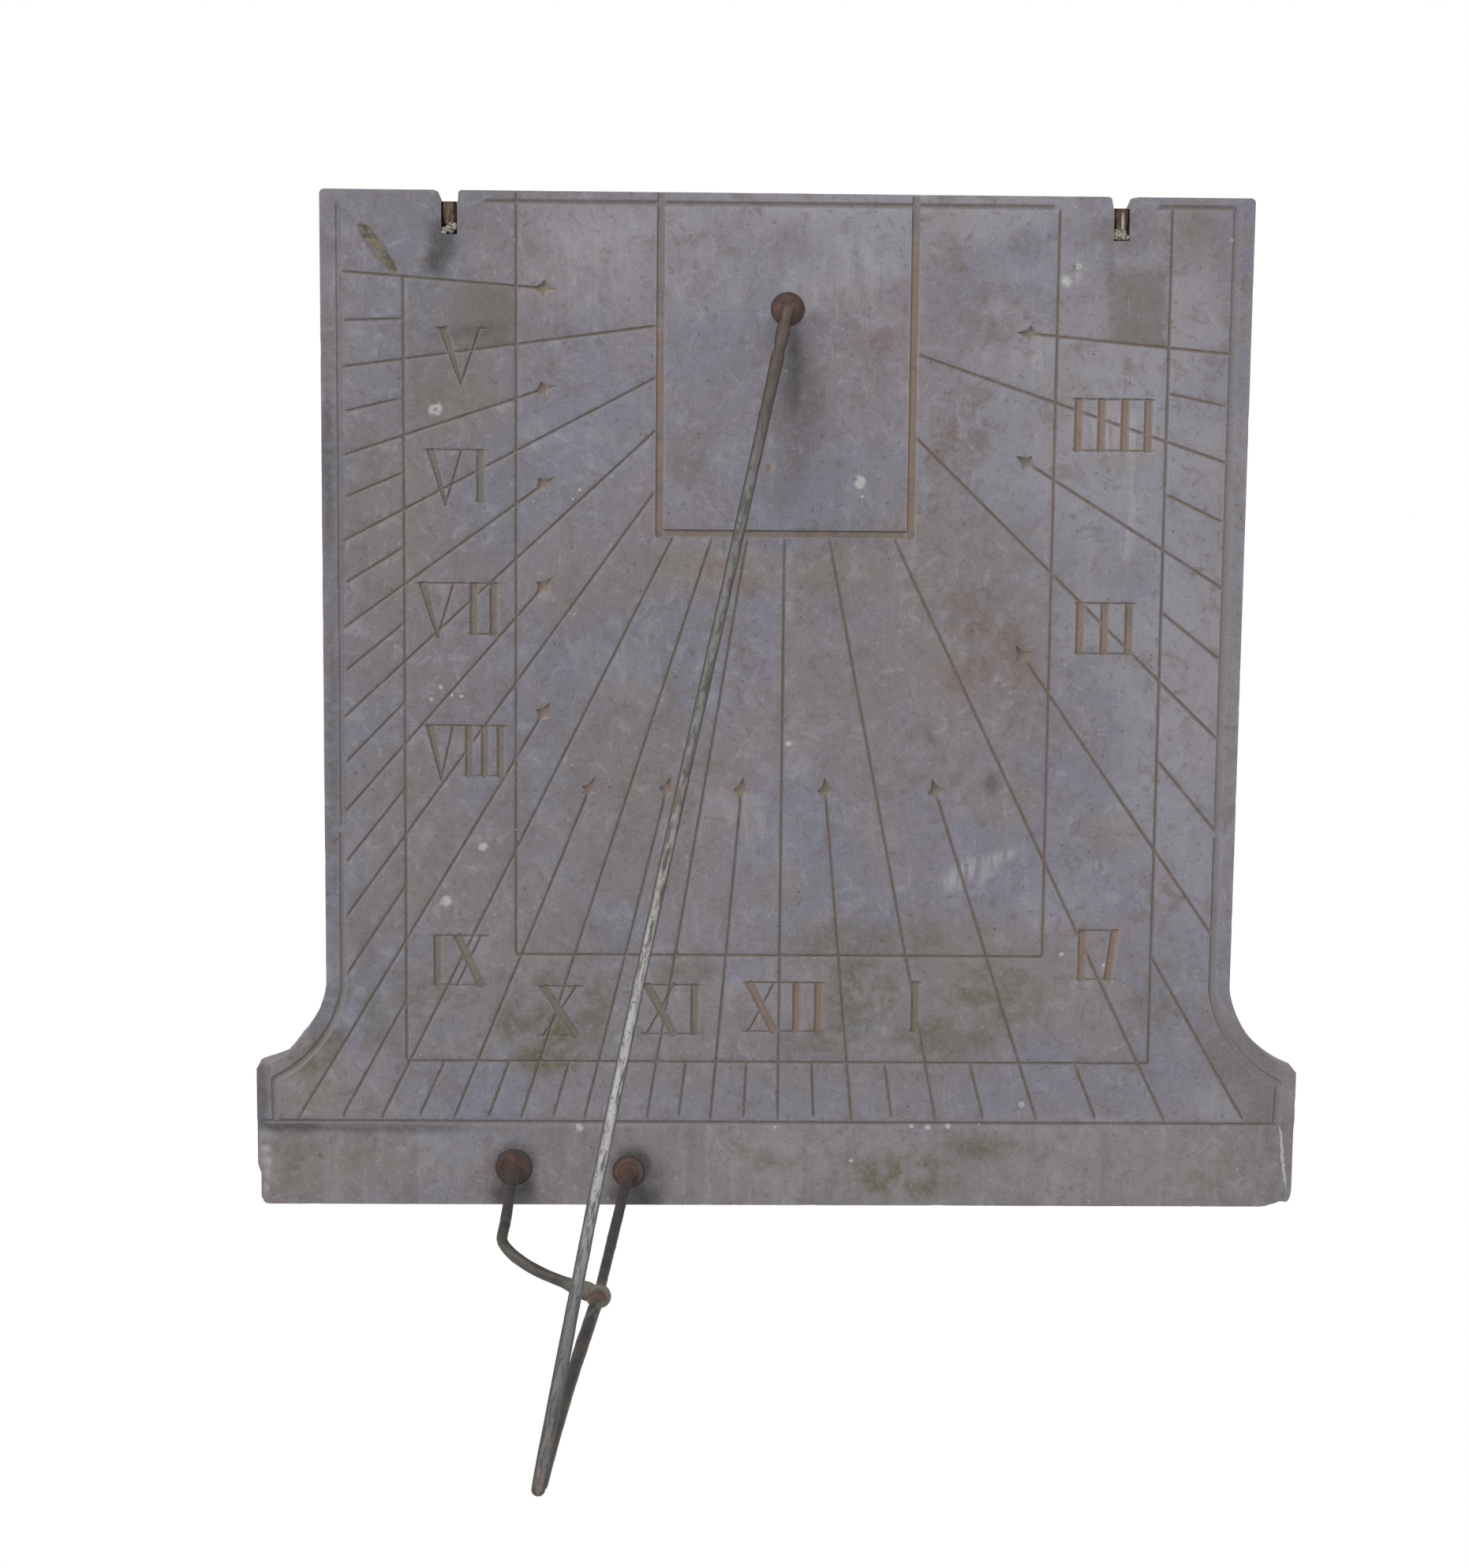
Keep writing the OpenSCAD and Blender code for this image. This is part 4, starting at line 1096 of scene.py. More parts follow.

# Lead plugs: rise of the dome, depth of the ring dished into it, how strongly its middle, its upper rim and
# its right rim are stained, and how much its whole rim is darkened
plugs = {
    "rootPlug": {"node": "root_lead_plug", "socket": "root", "rise": 3.4, "ring": 0.0, "seed": 200,
                 "middle": 0.15, "upper": 0.0, "right": 0.0, "halo": 0.35},
    "stayPlug": {"node": "stay_lead_plug", "socket": "stay", "rise": 1.8, "ring": 0.9, "seed": 210,
                 "middle": 0.35, "upper": 1.0, "right": 1.0, "halo": 0.8},
    "bracePlug": {"node": "brace_lead_plug", "socket": "brace", "rise": 2.0, "ring": 0.8, "seed": 220,
                  "middle": 0.9, "upper": 0.1, "right": 0.0, "halo": 0.85},
}
lead = {"sides": 64, "rings": 26, "wider": 1.02, "uneven": 0.05, "lumps": 1.3, "lower": 0.25, "under": -3.0,
        "dome": 2.4, "ringAt": 0.55, "ringWidth": 0.13}


def makePlug(name, plug):
    # rings of points whose height is rise * sqrt(1 - s^dome), less a ring where s is near ringAt; s is the
    # share of the way out to the rim
    cx, cy, radius = sockets[plug["socket"]]
    sides, rings, under = lead["sides"], lead["rings"], lead["under"]
    share = np.linspace(0, 1, rings + 1)[1:]
    angle = np.arange(sides) * 2 * math.pi / sides
    s, a = np.meshgrid(share, angle, indexing="ij")
    s, a = s.ravel(), a.ravel()
    around = np.stack([np.cos(a) * 3, np.sin(a) * 3, 0 * a], 1)
    wide = radius * (lead["wider"] + lead["uneven"] * (noise(around, 1.5, plug["seed"]) - 0.5))
    x, y = cx + wide * s * np.cos(a), cy + wide * s * np.sin(a)
    dome = plug["rise"] * np.sqrt(np.clip(1 - s ** lead["dome"], 0, 1))
    dome = dome - plug["ring"] * np.exp(-((s - lead["ringAt"]) / lead["ringWidth"]) ** 2)
    lumps = (layered(flat(x, y), 5, 3, plug["seed"] + 1) - 0.5) * lead["lumps"] * (1 - s ** 6)
    top = np.column_stack([x, y, dome + lumps - lead["lower"]])
    foot = np.column_stack([x[-sides:], y[-sides:], np.full(sides, under)])
    points = np.vstack([top, [[cx, cy, plug["rise"] - lead["lower"]]], foot, [[cx, cy, under]]])
    pole, rimStart = rings * sides, (rings - 1) * sides
    footStart = pole + 1
    j = np.arange(sides)
    k = np.roll(j, -1)
    wall = np.stack([rimStart + j, footStart + j, footStart + k, rimStart + k], 1).tolist()
    faces = ringFaces(rings, sides, 0, True) + poleFaces(pole, 0, sides) + wall
    faces += poleFaces(footStart + sides, footStart, sides, True)
    edge = np.concatenate([s, [0], np.ones(sides), [1]])
    u, v = (points[:, 0] - cx) / radius, (points[:, 1] - cy) / radius
    blotch = layered(points, 5, 3, plug["seed"] + 3)
    middle = plug["middle"] * smoothStep(0.5, 0.15, np.hypot(u, v + 0.1) + (blotch - 0.5) * 0.4)
    upper = plug["upper"] * smoothStep(0.5, 0.8, edge) * smoothStep(0.1, 0.6, -0.5 * u + 0.8 * v)
    right = plug["right"] * smoothStep(0.6, 0.85, edge) * smoothStep(0.4, 0.8, u)
    # shade is painted shade on the plug's lower right side
    marks = {"edge": edge, "orange": np.maximum(middle, upper), "tan": right,
             "halo": np.full(len(points), plug["halo"]), "shade": smoothStep(-0.1, 0.8, u * 0.6 - v * 0.5)}
    makePiece(name, points, faces, plug["node"], "stained_lead", marks)


for name, plug in plugs.items():
    makePlug(name, plug)

# The stubs of the wall's cramps, and the lead under them
pin = {"radius": 4.75, "length": 13.5, "sink": 0.5, "rough": 0.35, "sides": 48, "step": 0.6}
crumbs = {"count": 16, "beside": 8, "aside": 2.4, "small": 1.0, "large": 2.2, "rough": 0.9,
          "scatter": 1.6, "lower": (0.4, 5.6), "back": (-3.2, -1.5), "rings": 7, "sides": 16}


def makePin(name, node, x, seed, streak):
    # a rusted round stub, flaked at both ends, with a slanting streak down its front
    top = notchFloor - 0.1
    d = evenSteps(pin["length"], pin["step"], 0.5, 4)
    path = np.column_stack([np.full_like(d, x), top - d, np.full_like(d, -pin["sink"] - pin["radius"])])
    radius = np.maximum(ballEnds(d, np.full_like(d, pin["radius"] - 0.15)), pin["radius"] * 0.82)
    points, faces, _ = sweep(path, radius, (1, 0, 0), pin["sides"], pin["rough"], seed)
    off = points[:, 0] - x + 0.12 * (points[:, 1] - top + 8) + (layered(points, 3, 3, seed) - 0.5) * 3
    # front is 1 near the face; the paint darkens the rest as painted shade in the channel
    marks = {"front": smoothStep(-9, -3, points[:, 2]),
             "streak": streak * smoothStep(1.1, 0.3, np.abs(off)) * smoothStep(-2, -5, points[:, 1] - top)}
    makePiece(name, points, faces, node, "rusted_iron", marks)


def makeCrumbs(name, node, x, seed):
    # lumps in the foot of the channel: rings and poles of a ball, pushed in and out by noise
    rng = np.random.default_rng(seed)
    top = notchFloor - pin["length"]
    rings, sides = crumbs["rings"], crumbs["sides"]
    u, v = np.meshgrid(np.linspace(0, math.pi, rings + 2), np.linspace(0, 2 * math.pi, sides, endpoint=False),
                       indexing="ij")
    grid = np.stack([np.sin(u) * np.cos(v), np.sin(u) * np.sin(v), np.cos(u)], -1)
    ball = np.vstack([grid[0, :1], grid[1:-1].reshape(-1, 3), grid[-1, :1]])
    points, faces = [], []
    for k in range(crumbs["count"]):
        r = rng.uniform(crumbs["small"], crumbs["large"])
        side = (-1) ** k * crumbs["aside"] if k < crumbs["beside"] else 0
        middle = np.array([x + side + rng.uniform(-crumbs["scatter"], crumbs["scatter"]),
                           top - rng.uniform(*crumbs["lower"]), rng.uniform(*crumbs["back"])])
        swell = (noise(middle + ball * r, 1.3, seed + k) - 0.5) * crumbs["rough"]
        start = k * len(ball)
        faces += ringFaces(rings, sides, start + 1, True) + poleFaces(start, start + 1, sides)
        faces += poleFaces(start + len(ball) - 1, start + 1 + (rings - 1) * sides, sides, True)
        points.append(middle + ball * (r + swell)[:, None])
    makePiece(name, np.vstack(points), faces, node, "pale_lead", {})


leftNotch, rightNotch = [notch[0] for notch in slab["notches"]]
makePin("leftCrampPin", "cramp_pin_left", leftNotch, 300, 0.0)
makePin("rightCrampPin", "cramp_pin_right", rightNotch, 310, 1.0)
makeCrumbs("leftCrampLead", "cramp_lead_left", leftNotch, 320)
makeCrumbs("rightCrampLead", "cramp_lead_right", rightNotch, 330)


barRadius = 3.5          # of the plain bar that a bar's pattern is unrolled from

# Materials. A Wire is one output socket, and plain arithmetic on it adds Math nodes.
class Wire:
    def __init__(self, paint, socket):
        self.paint, self.socket = paint, socket

    def math(self, operation, *others, clamp=False):
        # a Math node whose first input is this socket
        settings = {"operation": operation, "use_clamp": clamp}
        return self.paint.node("ShaderNodeMath", settings, [self, *others])

    def __add__(self, other):
        return self.math("ADD", other)

    def __mul__(self, other):
        return self.math("MULTIPLY", other)

    def __sub__(self, other):
        return self.math("SUBTRACT", other)

    def __rsub__(self, other):
        return (self * -1) + other

    __radd__, __rmul__ = __add__, __mul__

    def clamp(self):
        # kept between 0 and 1
        return self.math("ADD", 0.0, clamp=True)

    def most(self, other):
        # the greater of two
        return self.math("MAXIMUM", other)

    def step(self, low, high):
        # 0 at low, 1 at high and smooth between them
        return self.paint.node("ShaderNodeMapRange", {"interpolation_type": "SMOOTHSTEP"},
                               {"Value": self, "From Min": low, "From Max": high}, "Result")

    def ramp(self, *stops):
        # stops are a place from 0 to 1 and a colour
        return self.paint.node("ShaderNodeValToRGB", {"stops": stops}, {"Fac": self}, "Color")


class Paint:
    def __init__(self, name):
        self.material = bpy.data.materials.new(name)
        self.material.use_nodes = True
        self.tree = self.material.node_tree
        self.shader = self.tree.nodes["Principled BSDF"]
        self.place = self.node("ShaderNodeTexCoord", {}, {}, "Object")

    def node(self, kind, settings, inputs, output=0):
        # settings come first, then each input's value or link
        node = self.tree.nodes.new(kind)
        for key, value in settings.items():
            if key == "stops":
                self.setStops(node, value)
            else:
                setattr(node, key, value)
        pairs = inputs.items() if isinstance(inputs, dict) else enumerate(inputs)
        for key, value in pairs:
            if isinstance(value, Wire):
                self.tree.links.new(value.socket, node.inputs[key])
            else:
                node.inputs[key].default_value = value
        return Wire(self, node.outputs[output])

    def setStops(self, node, stops):
        # a new ramp has two stops, and the others are added at its middle before they are placed
        elements = node.color_ramp.elements
        while len(elements) < len(stops):
            elements.new(0.5)
        for element, (position, colour) in zip(elements, stops):
            element.position = position
            element.color = (*colour, 1)

    def noise(self, size, detail=4.0, rough=0.55, stretch=(1, 1, 1), twist=0.0, shift=0.0, place=None):
        # size is the width of the largest spots in millimetres
        scale = [1000 / size / s for s in stretch]
        moved = self.node("ShaderNodeMapping", {}, {"Vector": place or self.place, "Scale": scale,
                                                    "Location": (shift, shift, shift)})
        return self.node("ShaderNodeTexNoise", {}, {"Vector": moved, "Scale": 1.0, "Detail": detail,
                                                    "Roughness": rough, "Distortion": twist})

    def cells(self, size):
        # distance to the middle of the nearest cell, in cell widths, and the cell's own random number
        moved = self.node("ShaderNodeMapping", {}, {"Vector": self.place, "Scale": [1000 / size] * 3})
        cell = self.node("ShaderNodeTexVoronoi", {}, {"Vector": moved, "Scale": 1.0}, "Distance")
        colour = Wire(self, cell.socket.node.outputs["Color"])
        return cell, self.node("ShaderNodeSeparateColor", {}, [colour])

    def attribute(self, name):
        # a value that the mesh holds for each point
        return self.node("ShaderNodeAttribute", {"attribute_name": name}, {}, "Fac")

    def mix(self, share, a, b):
        # a where share is 0, b where it is 1
        a, b = [(*c, 1) if isinstance(c, tuple) else c for c in (a, b)]
        return self.node("ShaderNodeMix", {"data_type": "RGBA"}, {0: share, 6: a, 7: b}, 2)

    def axis(self, index):
        # one of the object's coordinates, in metres
        return self.node("ShaderNodeSeparateXYZ", {}, [self.place], index)

    def distance(self, point):
        # metres from a point in the frame
        ends = [self.place, tuple(point)]
        return self.node("ShaderNodeVectorMath", {"operation": "DISTANCE"}, ends, "Value")

    def barPlace(self, stretch):
        # a place on an unrolled bar, in metres: round it, and along it shortened by the stretch
        turns = [self.attribute(name) * (barRadius * mm) for name in ("turnX", "turnY")]
        along = self.attribute("far") * (mm / stretch)
        return self.node("ShaderNodeCombineXYZ", {}, [*turns, along])

    def finish(self, colour, roughness, height, depth, specular):
        # depth is what the bump's height of 1 stands for, in millimetres
        relief = {"Height": height, "Distance": depth * mm, "Strength": 1.0}
        bump = self.node("ShaderNodeBump", {}, relief, "Normal")
        for key, value in (("Base Color", colour), ("Roughness", roughness), ("Normal", bump)):
            if isinstance(value, Wire):
                self.tree.links.new(value.socket, self.shader.inputs[key])
            else:
                self.shader.inputs[key].default_value = value
        self.shader.inputs["Specular IOR Level"].default_value = specular
        return self.material


# Colours are linear, and sizes are the widest spots of each pattern in millimetres. Lichens are middle x
# and y, radius, and 1 for a ring. The flake's bright edge slants across the band's right end.
slate = {
    "blue": (0.192, 0.192, 0.236), "mauve": (0.214, 0.188, 0.206), "light": (0.3, 0.292, 0.322),
    "dark": (0.12, 0.11, 0.116), "brown": (0.16, 0.13, 0.12), "warm": (0.205, 0.178, 0.16),
    "rust": (0.15, 0.1, 0.082), "green": (0.105, 0.098, 0.055), "stain": (0.045, 0.043, 0.042),
    "pale": (0.44, 0.43, 0.44), "patina": (0.143, 0.123, 0.109),
    "cut": (0.1, 0.088, 0.082), "cutOlive": (0.104, 0.094, 0.062), "cutRust": (0.165, 0.105, 0.075),
    "ground": (0.162, 0.142, 0.126), "groundOlive": (0.145, 0.133, 0.09), "groundRust": (0.235, 0.145, 0.092),
    # the dark wall colour on the next line is painted shade, and lip is a painted highlight
    "bare": (0.185, 0.17, 0.17), "lee": (0.055, 0.048, 0.044), "lip": (0.36, 0.34, 0.33),
    "scar": (0.085, 0.072, 0.045), "scarPale": (0.185, 0.155, 0.108),
    "spot": (0.48, 0.48, 0.47), "grainDark": (0.055, 0.048, 0.055), "grainLight": (0.44, 0.43, 0.45),
    "flakeAt": 325.5, "flakeSlant": 0.13, "flakeWander": 6, "flakeEnd": 46, "flakeFade": 12,
    "bump": 0.35, "specular": 0.35,
    "sizes": {"cloud": 90, "patch": 32, "mottle": 12, "dapple": 5.0, "grain": 1.8, "drip": 15,
              "streak": 24, "scratch": 60, "pit": 6, "crumb": 12},
    "lichens": ((-218.8, -63.9, 4.6, 1), (46.6, -107.2, 4.2, 0), (48.2, -116, 1.2, 0),
                (-189.8, -339.9, 3.4, 0), (-213.4, -375.7, 3.8, 0), (-127.6, -523.7, 2.6, 0),
                (4.1, -272.8, 2.0, 0), (86.3, -521.9, 1.8, 0), (97, -522.5, 2.2, 0), (110, -522, 2.0, 0),
                (157.4, -507, 2.2, 1), (-129, -113, 1.3, 0), (-133, -119, 0.9, 0), (47.5, -545, 1.6, 0),
                (276, 45, 1.5, 0), (-216, -238, 1.7, 0), (-222, -246, 1.4, 0), (-209, -243, 1.3, 0),
                (173.5, 18.5, 3.2, 1), (180.5, 28, 2.2, 1), (-203, -244, 1.2, 0),
                (208, -415, 1.2, 0), (-2, -523, 1.1, 0), (181, -408, 1.6, 0)),
}


def slatePaint():
    # colours are laid one over the other, each by a share from noise, from a stain or a patch of painted
    # light or shade, or from both
    s = Paint("slate")
    size = slate["sizes"]
    cloud = s.noise(size["cloud"], 4, 0.6)
    patch = s.noise(size["patch"], 5, 0.62, twist=0.5)
    mottle = s.noise(size["mottle"], 5, 0.64, twist=0.8, shift=3.7)
    dapple = s.noise(size["dapple"], 4, 0.6, twist=0.5, shift=9.1)
    grain = s.noise(size["grain"], 3, 0.6)
    drip = s.noise(size["drip"], 5, 0.6, (0.4, 1, 3.0), 0.5, 5.3)
    colour = s.mix(cloud.step(0.38, 0.62), slate["blue"], slate["mauve"])
    colour = s.mix(s.attribute("cool") * 0.8, colour, slate["blue"])
    colour = s.mix(patch.step(0.5, 0.68) * 0.5, colour, slate["mauve"])
    # painted light on broad paler areas, then painted shade on broad darker ones
    colour = s.mix((s.attribute("light") * (drip * 0.6 + 0.7)).clamp() * 0.7, colour, slate["light"])
    colour = s.mix((s.attribute("deep") * (patch * 0.6 + 0.3)).clamp(), colour, slate["dark"])
    colour = s.mix(patch.step(0.46, 0.3) * 0.35, colour, slate["light"])
    colour = s.mix(drip.step(0.56, 0.76) * 0.35, colour, slate["light"])
    # stains, some dark ones with painted shade in them, and the streaks that run down the band
    warm, rusty, green = s.attribute("warm"), s.attribute("rusty"), s.attribute("green")
    dark, pale, below = s.attribute("dark"), s.attribute("pale"), s.attribute("below")
    colour = s.mix((warm * (patch * 0.9 + 0.4)).clamp(), colour, slate["warm"])
    colour = s.mix(below * 0.3, colour, slate["warm"])
    streak = s.noise(size["streak"], 4, 0.6, (0.4, 1, 5.0), 0.0, 7.7)
    colour = s.mix(below * streak.step(0.52, 0.72) * 0.4, colour, slate["light"])
    colour = s.mix(below * streak.step(0.46, 0.3) * 0.3, colour, slate["dark"])
    colour = s.mix(mottle.step(0.5, 0.68) * 0.55 * (1 - s.attribute("cool") * 0.6), colour, slate["brown"])
    colour = s.mix(mottle.step(0.46, 0.3) * 0.45, colour, slate["light"])
    colour = s.mix((rusty * mottle.step(0.36, 0.6) * 0.6).clamp(), colour, slate["rust"])
    colour = s.mix(dapple.step(0.58, 0.7) * 0.5, colour, slate["dark"])
    colour = s.mix(dapple.step(0.4, 0.28) * 0.36, colour, slate["light"])
    # pits in some of the cells of a fine net
    pit, deepness = s.cells(size["pit"])
    pits = pit.step(0.17, 0.09) * deepness.step(0.66, 0.74) * mottle.step(0.42, 0.56)
    colour = s.mix(pits * 0.6, colour, slate["stain"])
    colour = s.mix(s.attribute("patina") * 0.9, colour, slate["patina"])
    colour = s.mix((green * (dapple.step(0.36, 0.56) * 0.5 + 0.5) * 0.85).clamp(), colour, slate["green"])
    # dark stains, partly painted shade beside the rod's foot, under the band's line and under the plugs
    colour = s.mix((dark * (patch * 0.5 + 0.95)).clamp() * 0.92, colour, slate["stain"])
    colour = s.mix((pale * drip.step(0.35, 0.58)).clamp() * 0.75, colour, slate["pale"])
    scar = s.mix(dapple.step(0.42, 0.58), slate["scar"], slate["scarPale"])
    colour = s.mix(s.attribute("scar") * 0.9, colour, scar)
    # grooves: a stained ground, painted shade on the upper wall, and a painted highlight on the lower wall
    # and on the rim beside the groove
    cut, wall, fill = s.attribute("cut"), s.attribute("wall"), s.attribute("fill")
    rust, algae = s.attribute("cutRust"), s.attribute("cutAlgae")
    narrow = s.mix(rust * 0.8, s.mix(algae * 0.8, slate["cut"], slate["cutOlive"]), slate["cutRust"])
    ground = s.mix(algae * 0.85, slate["ground"], slate["groundOlive"])
    ground = s.mix((rust * (patch * 1.3 + 0.25)).clamp(), ground, slate["groundRust"])
    ground = s.mix(mottle.step(0.5, 0.66) * 0.5, ground, slate["cut"])
    core = s.mix(s.attribute("bare"), s.mix(fill, narrow, ground), slate["bare"])
    colour = s.mix((cut.step(0.0, 0.45) * (drip * 0.8 + 0.45)).clamp() * 0.9, colour, core)
    flank = (cut * (1 - cut) * 4).clamp()
    # painted shade on the groove's upper wall
    colour = s.mix((flank * wall * (0.5 + fill * 0.4)).clamp(), colour, slate["lee"])
    # a painted highlight on the lower wall and just outside the groove
    colour = s.mix((flank * wall * -0.5).clamp().most(s.attribute("rim") * 0.4), colour, slate["lip"])
    # lichens, each a spot or a ring about its own middle, and scattered crumbs of it
    lichen = None
    for x, y, r, ringed in slate["lichens"]:
        centre = (x * mm, (faceY + 0.3) * mm, (centreZ + y) * mm)
        away = s.distance(centre) * (1 / (r * mm)) + (dapple - 0.5) * 1.7
        spot = away.step(1.15, 0.5)
        if ringed:
            spot = spot * (away.step(0.1, 0.42) * 0.75 + 0.25)
        lichen = lichen.most(spot) if lichen else spot
    crumb, chance = s.cells(size["crumb"])
    specks = crumb.step(0.075, 0.035) * chance.step(0.8, 0.82)
    # the thin bright edge of the flake: where x - at + slant * (z - the band's top) is near 0
    across, up = s.axis(0), s.axis(2)
    bandTop = (centreZ + bandY) * mm
    slant, wander = slate["flakeSlant"], slate["flakeWander"] * mm
    crack = across - bandTop * slant - slate["flakeAt"] * mm + up * slant + (mottle - 0.5) * wander
    flakeFoot = bandTop - slate["flakeEnd"] * mm
    flake = crack.math("ABSOLUTE").step(1.3 * mm, 0.5 * mm)
    flake = flake * up.step(flakeFoot, flakeFoot + slate["flakeFade"] * mm)
    flake = flake * up.step(bandTop, bandTop - 3 * mm)
    # fine scratches run where a stretched noise passes through its middle value
    scratch = s.noise(size["scratch"], 3, 0.5, (0.05, 1, 1.4), 1.2, 1.9)
    scratches = (scratch - 0.5).math("ABSOLUTE").step(0.006, 0.002) * patch.step(0.56, 0.64)
    colour = s.mix(scratches * 0.3, colour, slate["pale"])
    colour = s.mix((lichen * 0.75).most(specks * 0.5).most(flake * 0.9), colour, slate["spot"])
    colour = s.mix((grain - 0.5).clamp() * 0.55, colour, slate["grainDark"])
    colour = s.mix((0.5 - grain).clamp() * 0.5, colour, slate["grainLight"])
    roughness = (0.68 + (dapple - 0.5) * 0.3).clamp()
    height = grain * 0.2 + mottle * 0.5 + dapple * 0.5 + lichen * 0.6
    return s.finish(colour, roughness, height, slate["bump"], slate["specular"])


# Stops are a share of the rod's length from the foot, and a colour
weatheredIron = {
    "under": ((0.0, (0.075, 0.045, 0.036)), (0.07, (0.07, 0.052, 0.044)), (0.2, (0.075, 0.07, 0.066)),
              (0.75, (0.07, 0.068, 0.066)), (1.0, (0.05, 0.048, 0.047))),
    "crust": ((0.0, (0.105, 0.072, 0.06)), (0.1, (0.095, 0.078, 0.072)), (0.17, (0.165, 0.158, 0.155)),
              (0.26, (0.17, 0.17, 0.168)), (0.42, (0.2, 0.197, 0.19)), (0.5, (0.28, 0.262, 0.245)),
              (0.58, (0.38, 0.36, 0.34)), (0.66, (0.42, 0.415, 0.41)), (0.75, (0.46, 0.45, 0.445)),
              (0.82, (0.28, 0.28, 0.28)), (0.88, (0.15, 0.15, 0.15)), (0.96, (0.16, 0.152, 0.145)),
              (1.0, (0.16, 0.13, 0.118))),
    # the last colour here is painted shade for both sides of the rod
    "ochre": (0.17, 0.14, 0.085), "speck": (0.035, 0.032, 0.03), "lee": (0.035, 0.033, 0.032),
    "roughness": 0.62, "bump": 0.4, "specular": 0.4,
}


def rodPaint():
    # dark iron under a pale crust, more so towards the middle; the crust is laid only on the side that faces
    # the light, so it is partly a painted highlight, and both sides of the rod get painted shade
    s = Paint("weatheredIron")
    iron = weatheredIron
    lit, share = s.attribute("lit"), s.attribute("far") * (1 / rod["length"])
    vein = s.noise(2.6, 5, 0.65, twist=0.7, place=s.barPlace(5))
    blotch = s.noise(5.0, 4, 0.6, place=s.barPlace(3), shift=2.2)
    speck = s.noise(1.6, 3, 0.6, place=s.barPlace(1.6), shift=4.4)
    under, crust = share.ramp(*iron["under"]), share.ramp(*iron["crust"])
    # the crust covers only the lit front: a real crust and a painted highlight
    cover = lit.step(0.7, 0.93) * (vein.step(0.6, 0.46) * 0.85 + 0.15)
    bare = share.step(0.28, 0.45) * share.step(0.62, 0.52)
    cover = (cover - bare * blotch.step(0.5, 0.62) * 0.7).clamp()
    colour = s.mix(cover, under, crust)
    colour = s.mix((bare * blotch.step(0.56, 0.66) * lit * 0.6).clamp(), colour, iron["ochre"])
    colour = s.mix(speck.step(0.6, 0.7) * 0.7, colour, iron["speck"])
    # painted shade down both sides of the rod, where it turns away from the front
    colour = s.mix(lit.step(0.78, 0.55) * 0.7, colour, iron["lee"])
    roughness = (iron["roughness"] + (speck - 0.5) * 0.4).clamp()
    return s.finish(colour, roughness, vein * 0.6 + speck * 0.5, iron["bump"], iron["specular"])


darkIron = {
    "dark": (0.042, 0.038, 0.035), "brown": (0.064, 0.057, 0.05), "rust": (0.085, 0.056, 0.04),
    "pale": (0.15, 0.14, 0.122), "eyeRust": (0.15, 0.088, 0.064), "footRust": (0.115, 0.066, 0.052),
    "grey": (0.2, 0.19, 0.155), "vein": (0.2, 0.19, 0.17), "spoon": (0.2, 0.19, 0.15),
    "speck": (0.025, 0.022, 0.02), "roughness": 0.6, "bump": 0.4, "specular": 0.4,
}


def ironPaint():
    # dark iron with pale veins on the side that faces the light, partly a painted highlight, rusted at the
    # eye and the feet, grey about the eye
    s = Paint("darkIron")
    iron = darkIron
    lit, far = s.attribute("lit"), s.attribute("far")
    vein = s.noise(2.6, 5, 0.65, twist=0.6, place=s.barPlace(4))
    speck = s.noise(1.6, 3, 0.6, place=s.barPlace(1.6), shift=4.4)
    blotch = s.noise(12, 4, 0.6)
    colour = s.mix(blotch.step(0.38, 0.6), iron["dark"], iron["brown"])
    colour = s.mix(blotch.step(0.55, 0.75) * 0.4, colour, iron["rust"])
    # the pale veins, the grey about the eye, the vein colour and the spoon's colour keep to the lit side:
    # partly painted highlight
    colour = s.mix((lit.step(0.66, 0.92) * vein.step(0.55, 0.42) * 0.42).clamp(), colour, iron["pale"])
    rusty = s.distance(onDial([hold + stayWay * 3])[0]).step(0.010, 0.005)
    colour = s.mix(rusty * 0.75, colour, iron["eyeRust"])
    feet = [s.distance(onDial([foot])[0]).step(0.034, 0.012) for foot in (stayFoot, braceFoot)]
    colour = s.mix(feet[0].most(feet[1]) * 0.75, colour, iron["footRust"])
    grey = far.step(8, 14) * far.step(50, 28) * lit.step(0.5, 0.8)
    colour = s.mix((grey * vein.step(0.6, 0.4) * 0.85).clamp(), colour, iron["grey"])
    colour = s.mix((vein.step(0.62, 0.7) * lit.step(0.5, 0.8) * 0.35).clamp(), colour, iron["vein"])
    spoon = far.step(-26, -10) * far.step(0.6, 0.1) * s.distance(onDial([hold])[0]).step(0.03, 0.02)
    colour = s.mix((spoon * lit.step(0.5, 0.8) * 0.6).clamp(), colour, iron["spoon"])
    colour = s.mix(speck.step(0.62, 0.72) * 0.6, colour, iron["speck"])
    roughness = (iron["roughness"] + (speck - 0.5) * 0.4).clamp()
    return s.finish(colour, roughness, vein * 0.5 + speck * 0.5, iron["bump"], iron["specular"])


stainedLead = {
    "dark": (0.08, 0.05, 0.044), "brown": (0.125, 0.076, 0.063), "orange": (0.23, 0.125, 0.08),
    "tan": (0.24, 0.19, 0.15), "halo": (0.055, 0.048, 0.045), "shade": (0.045, 0.032, 0.028),
    "speck": (0.04, 0.03, 0.026), "roughness": 0.85, "bump": 0.6, "specular": 0.2,
}


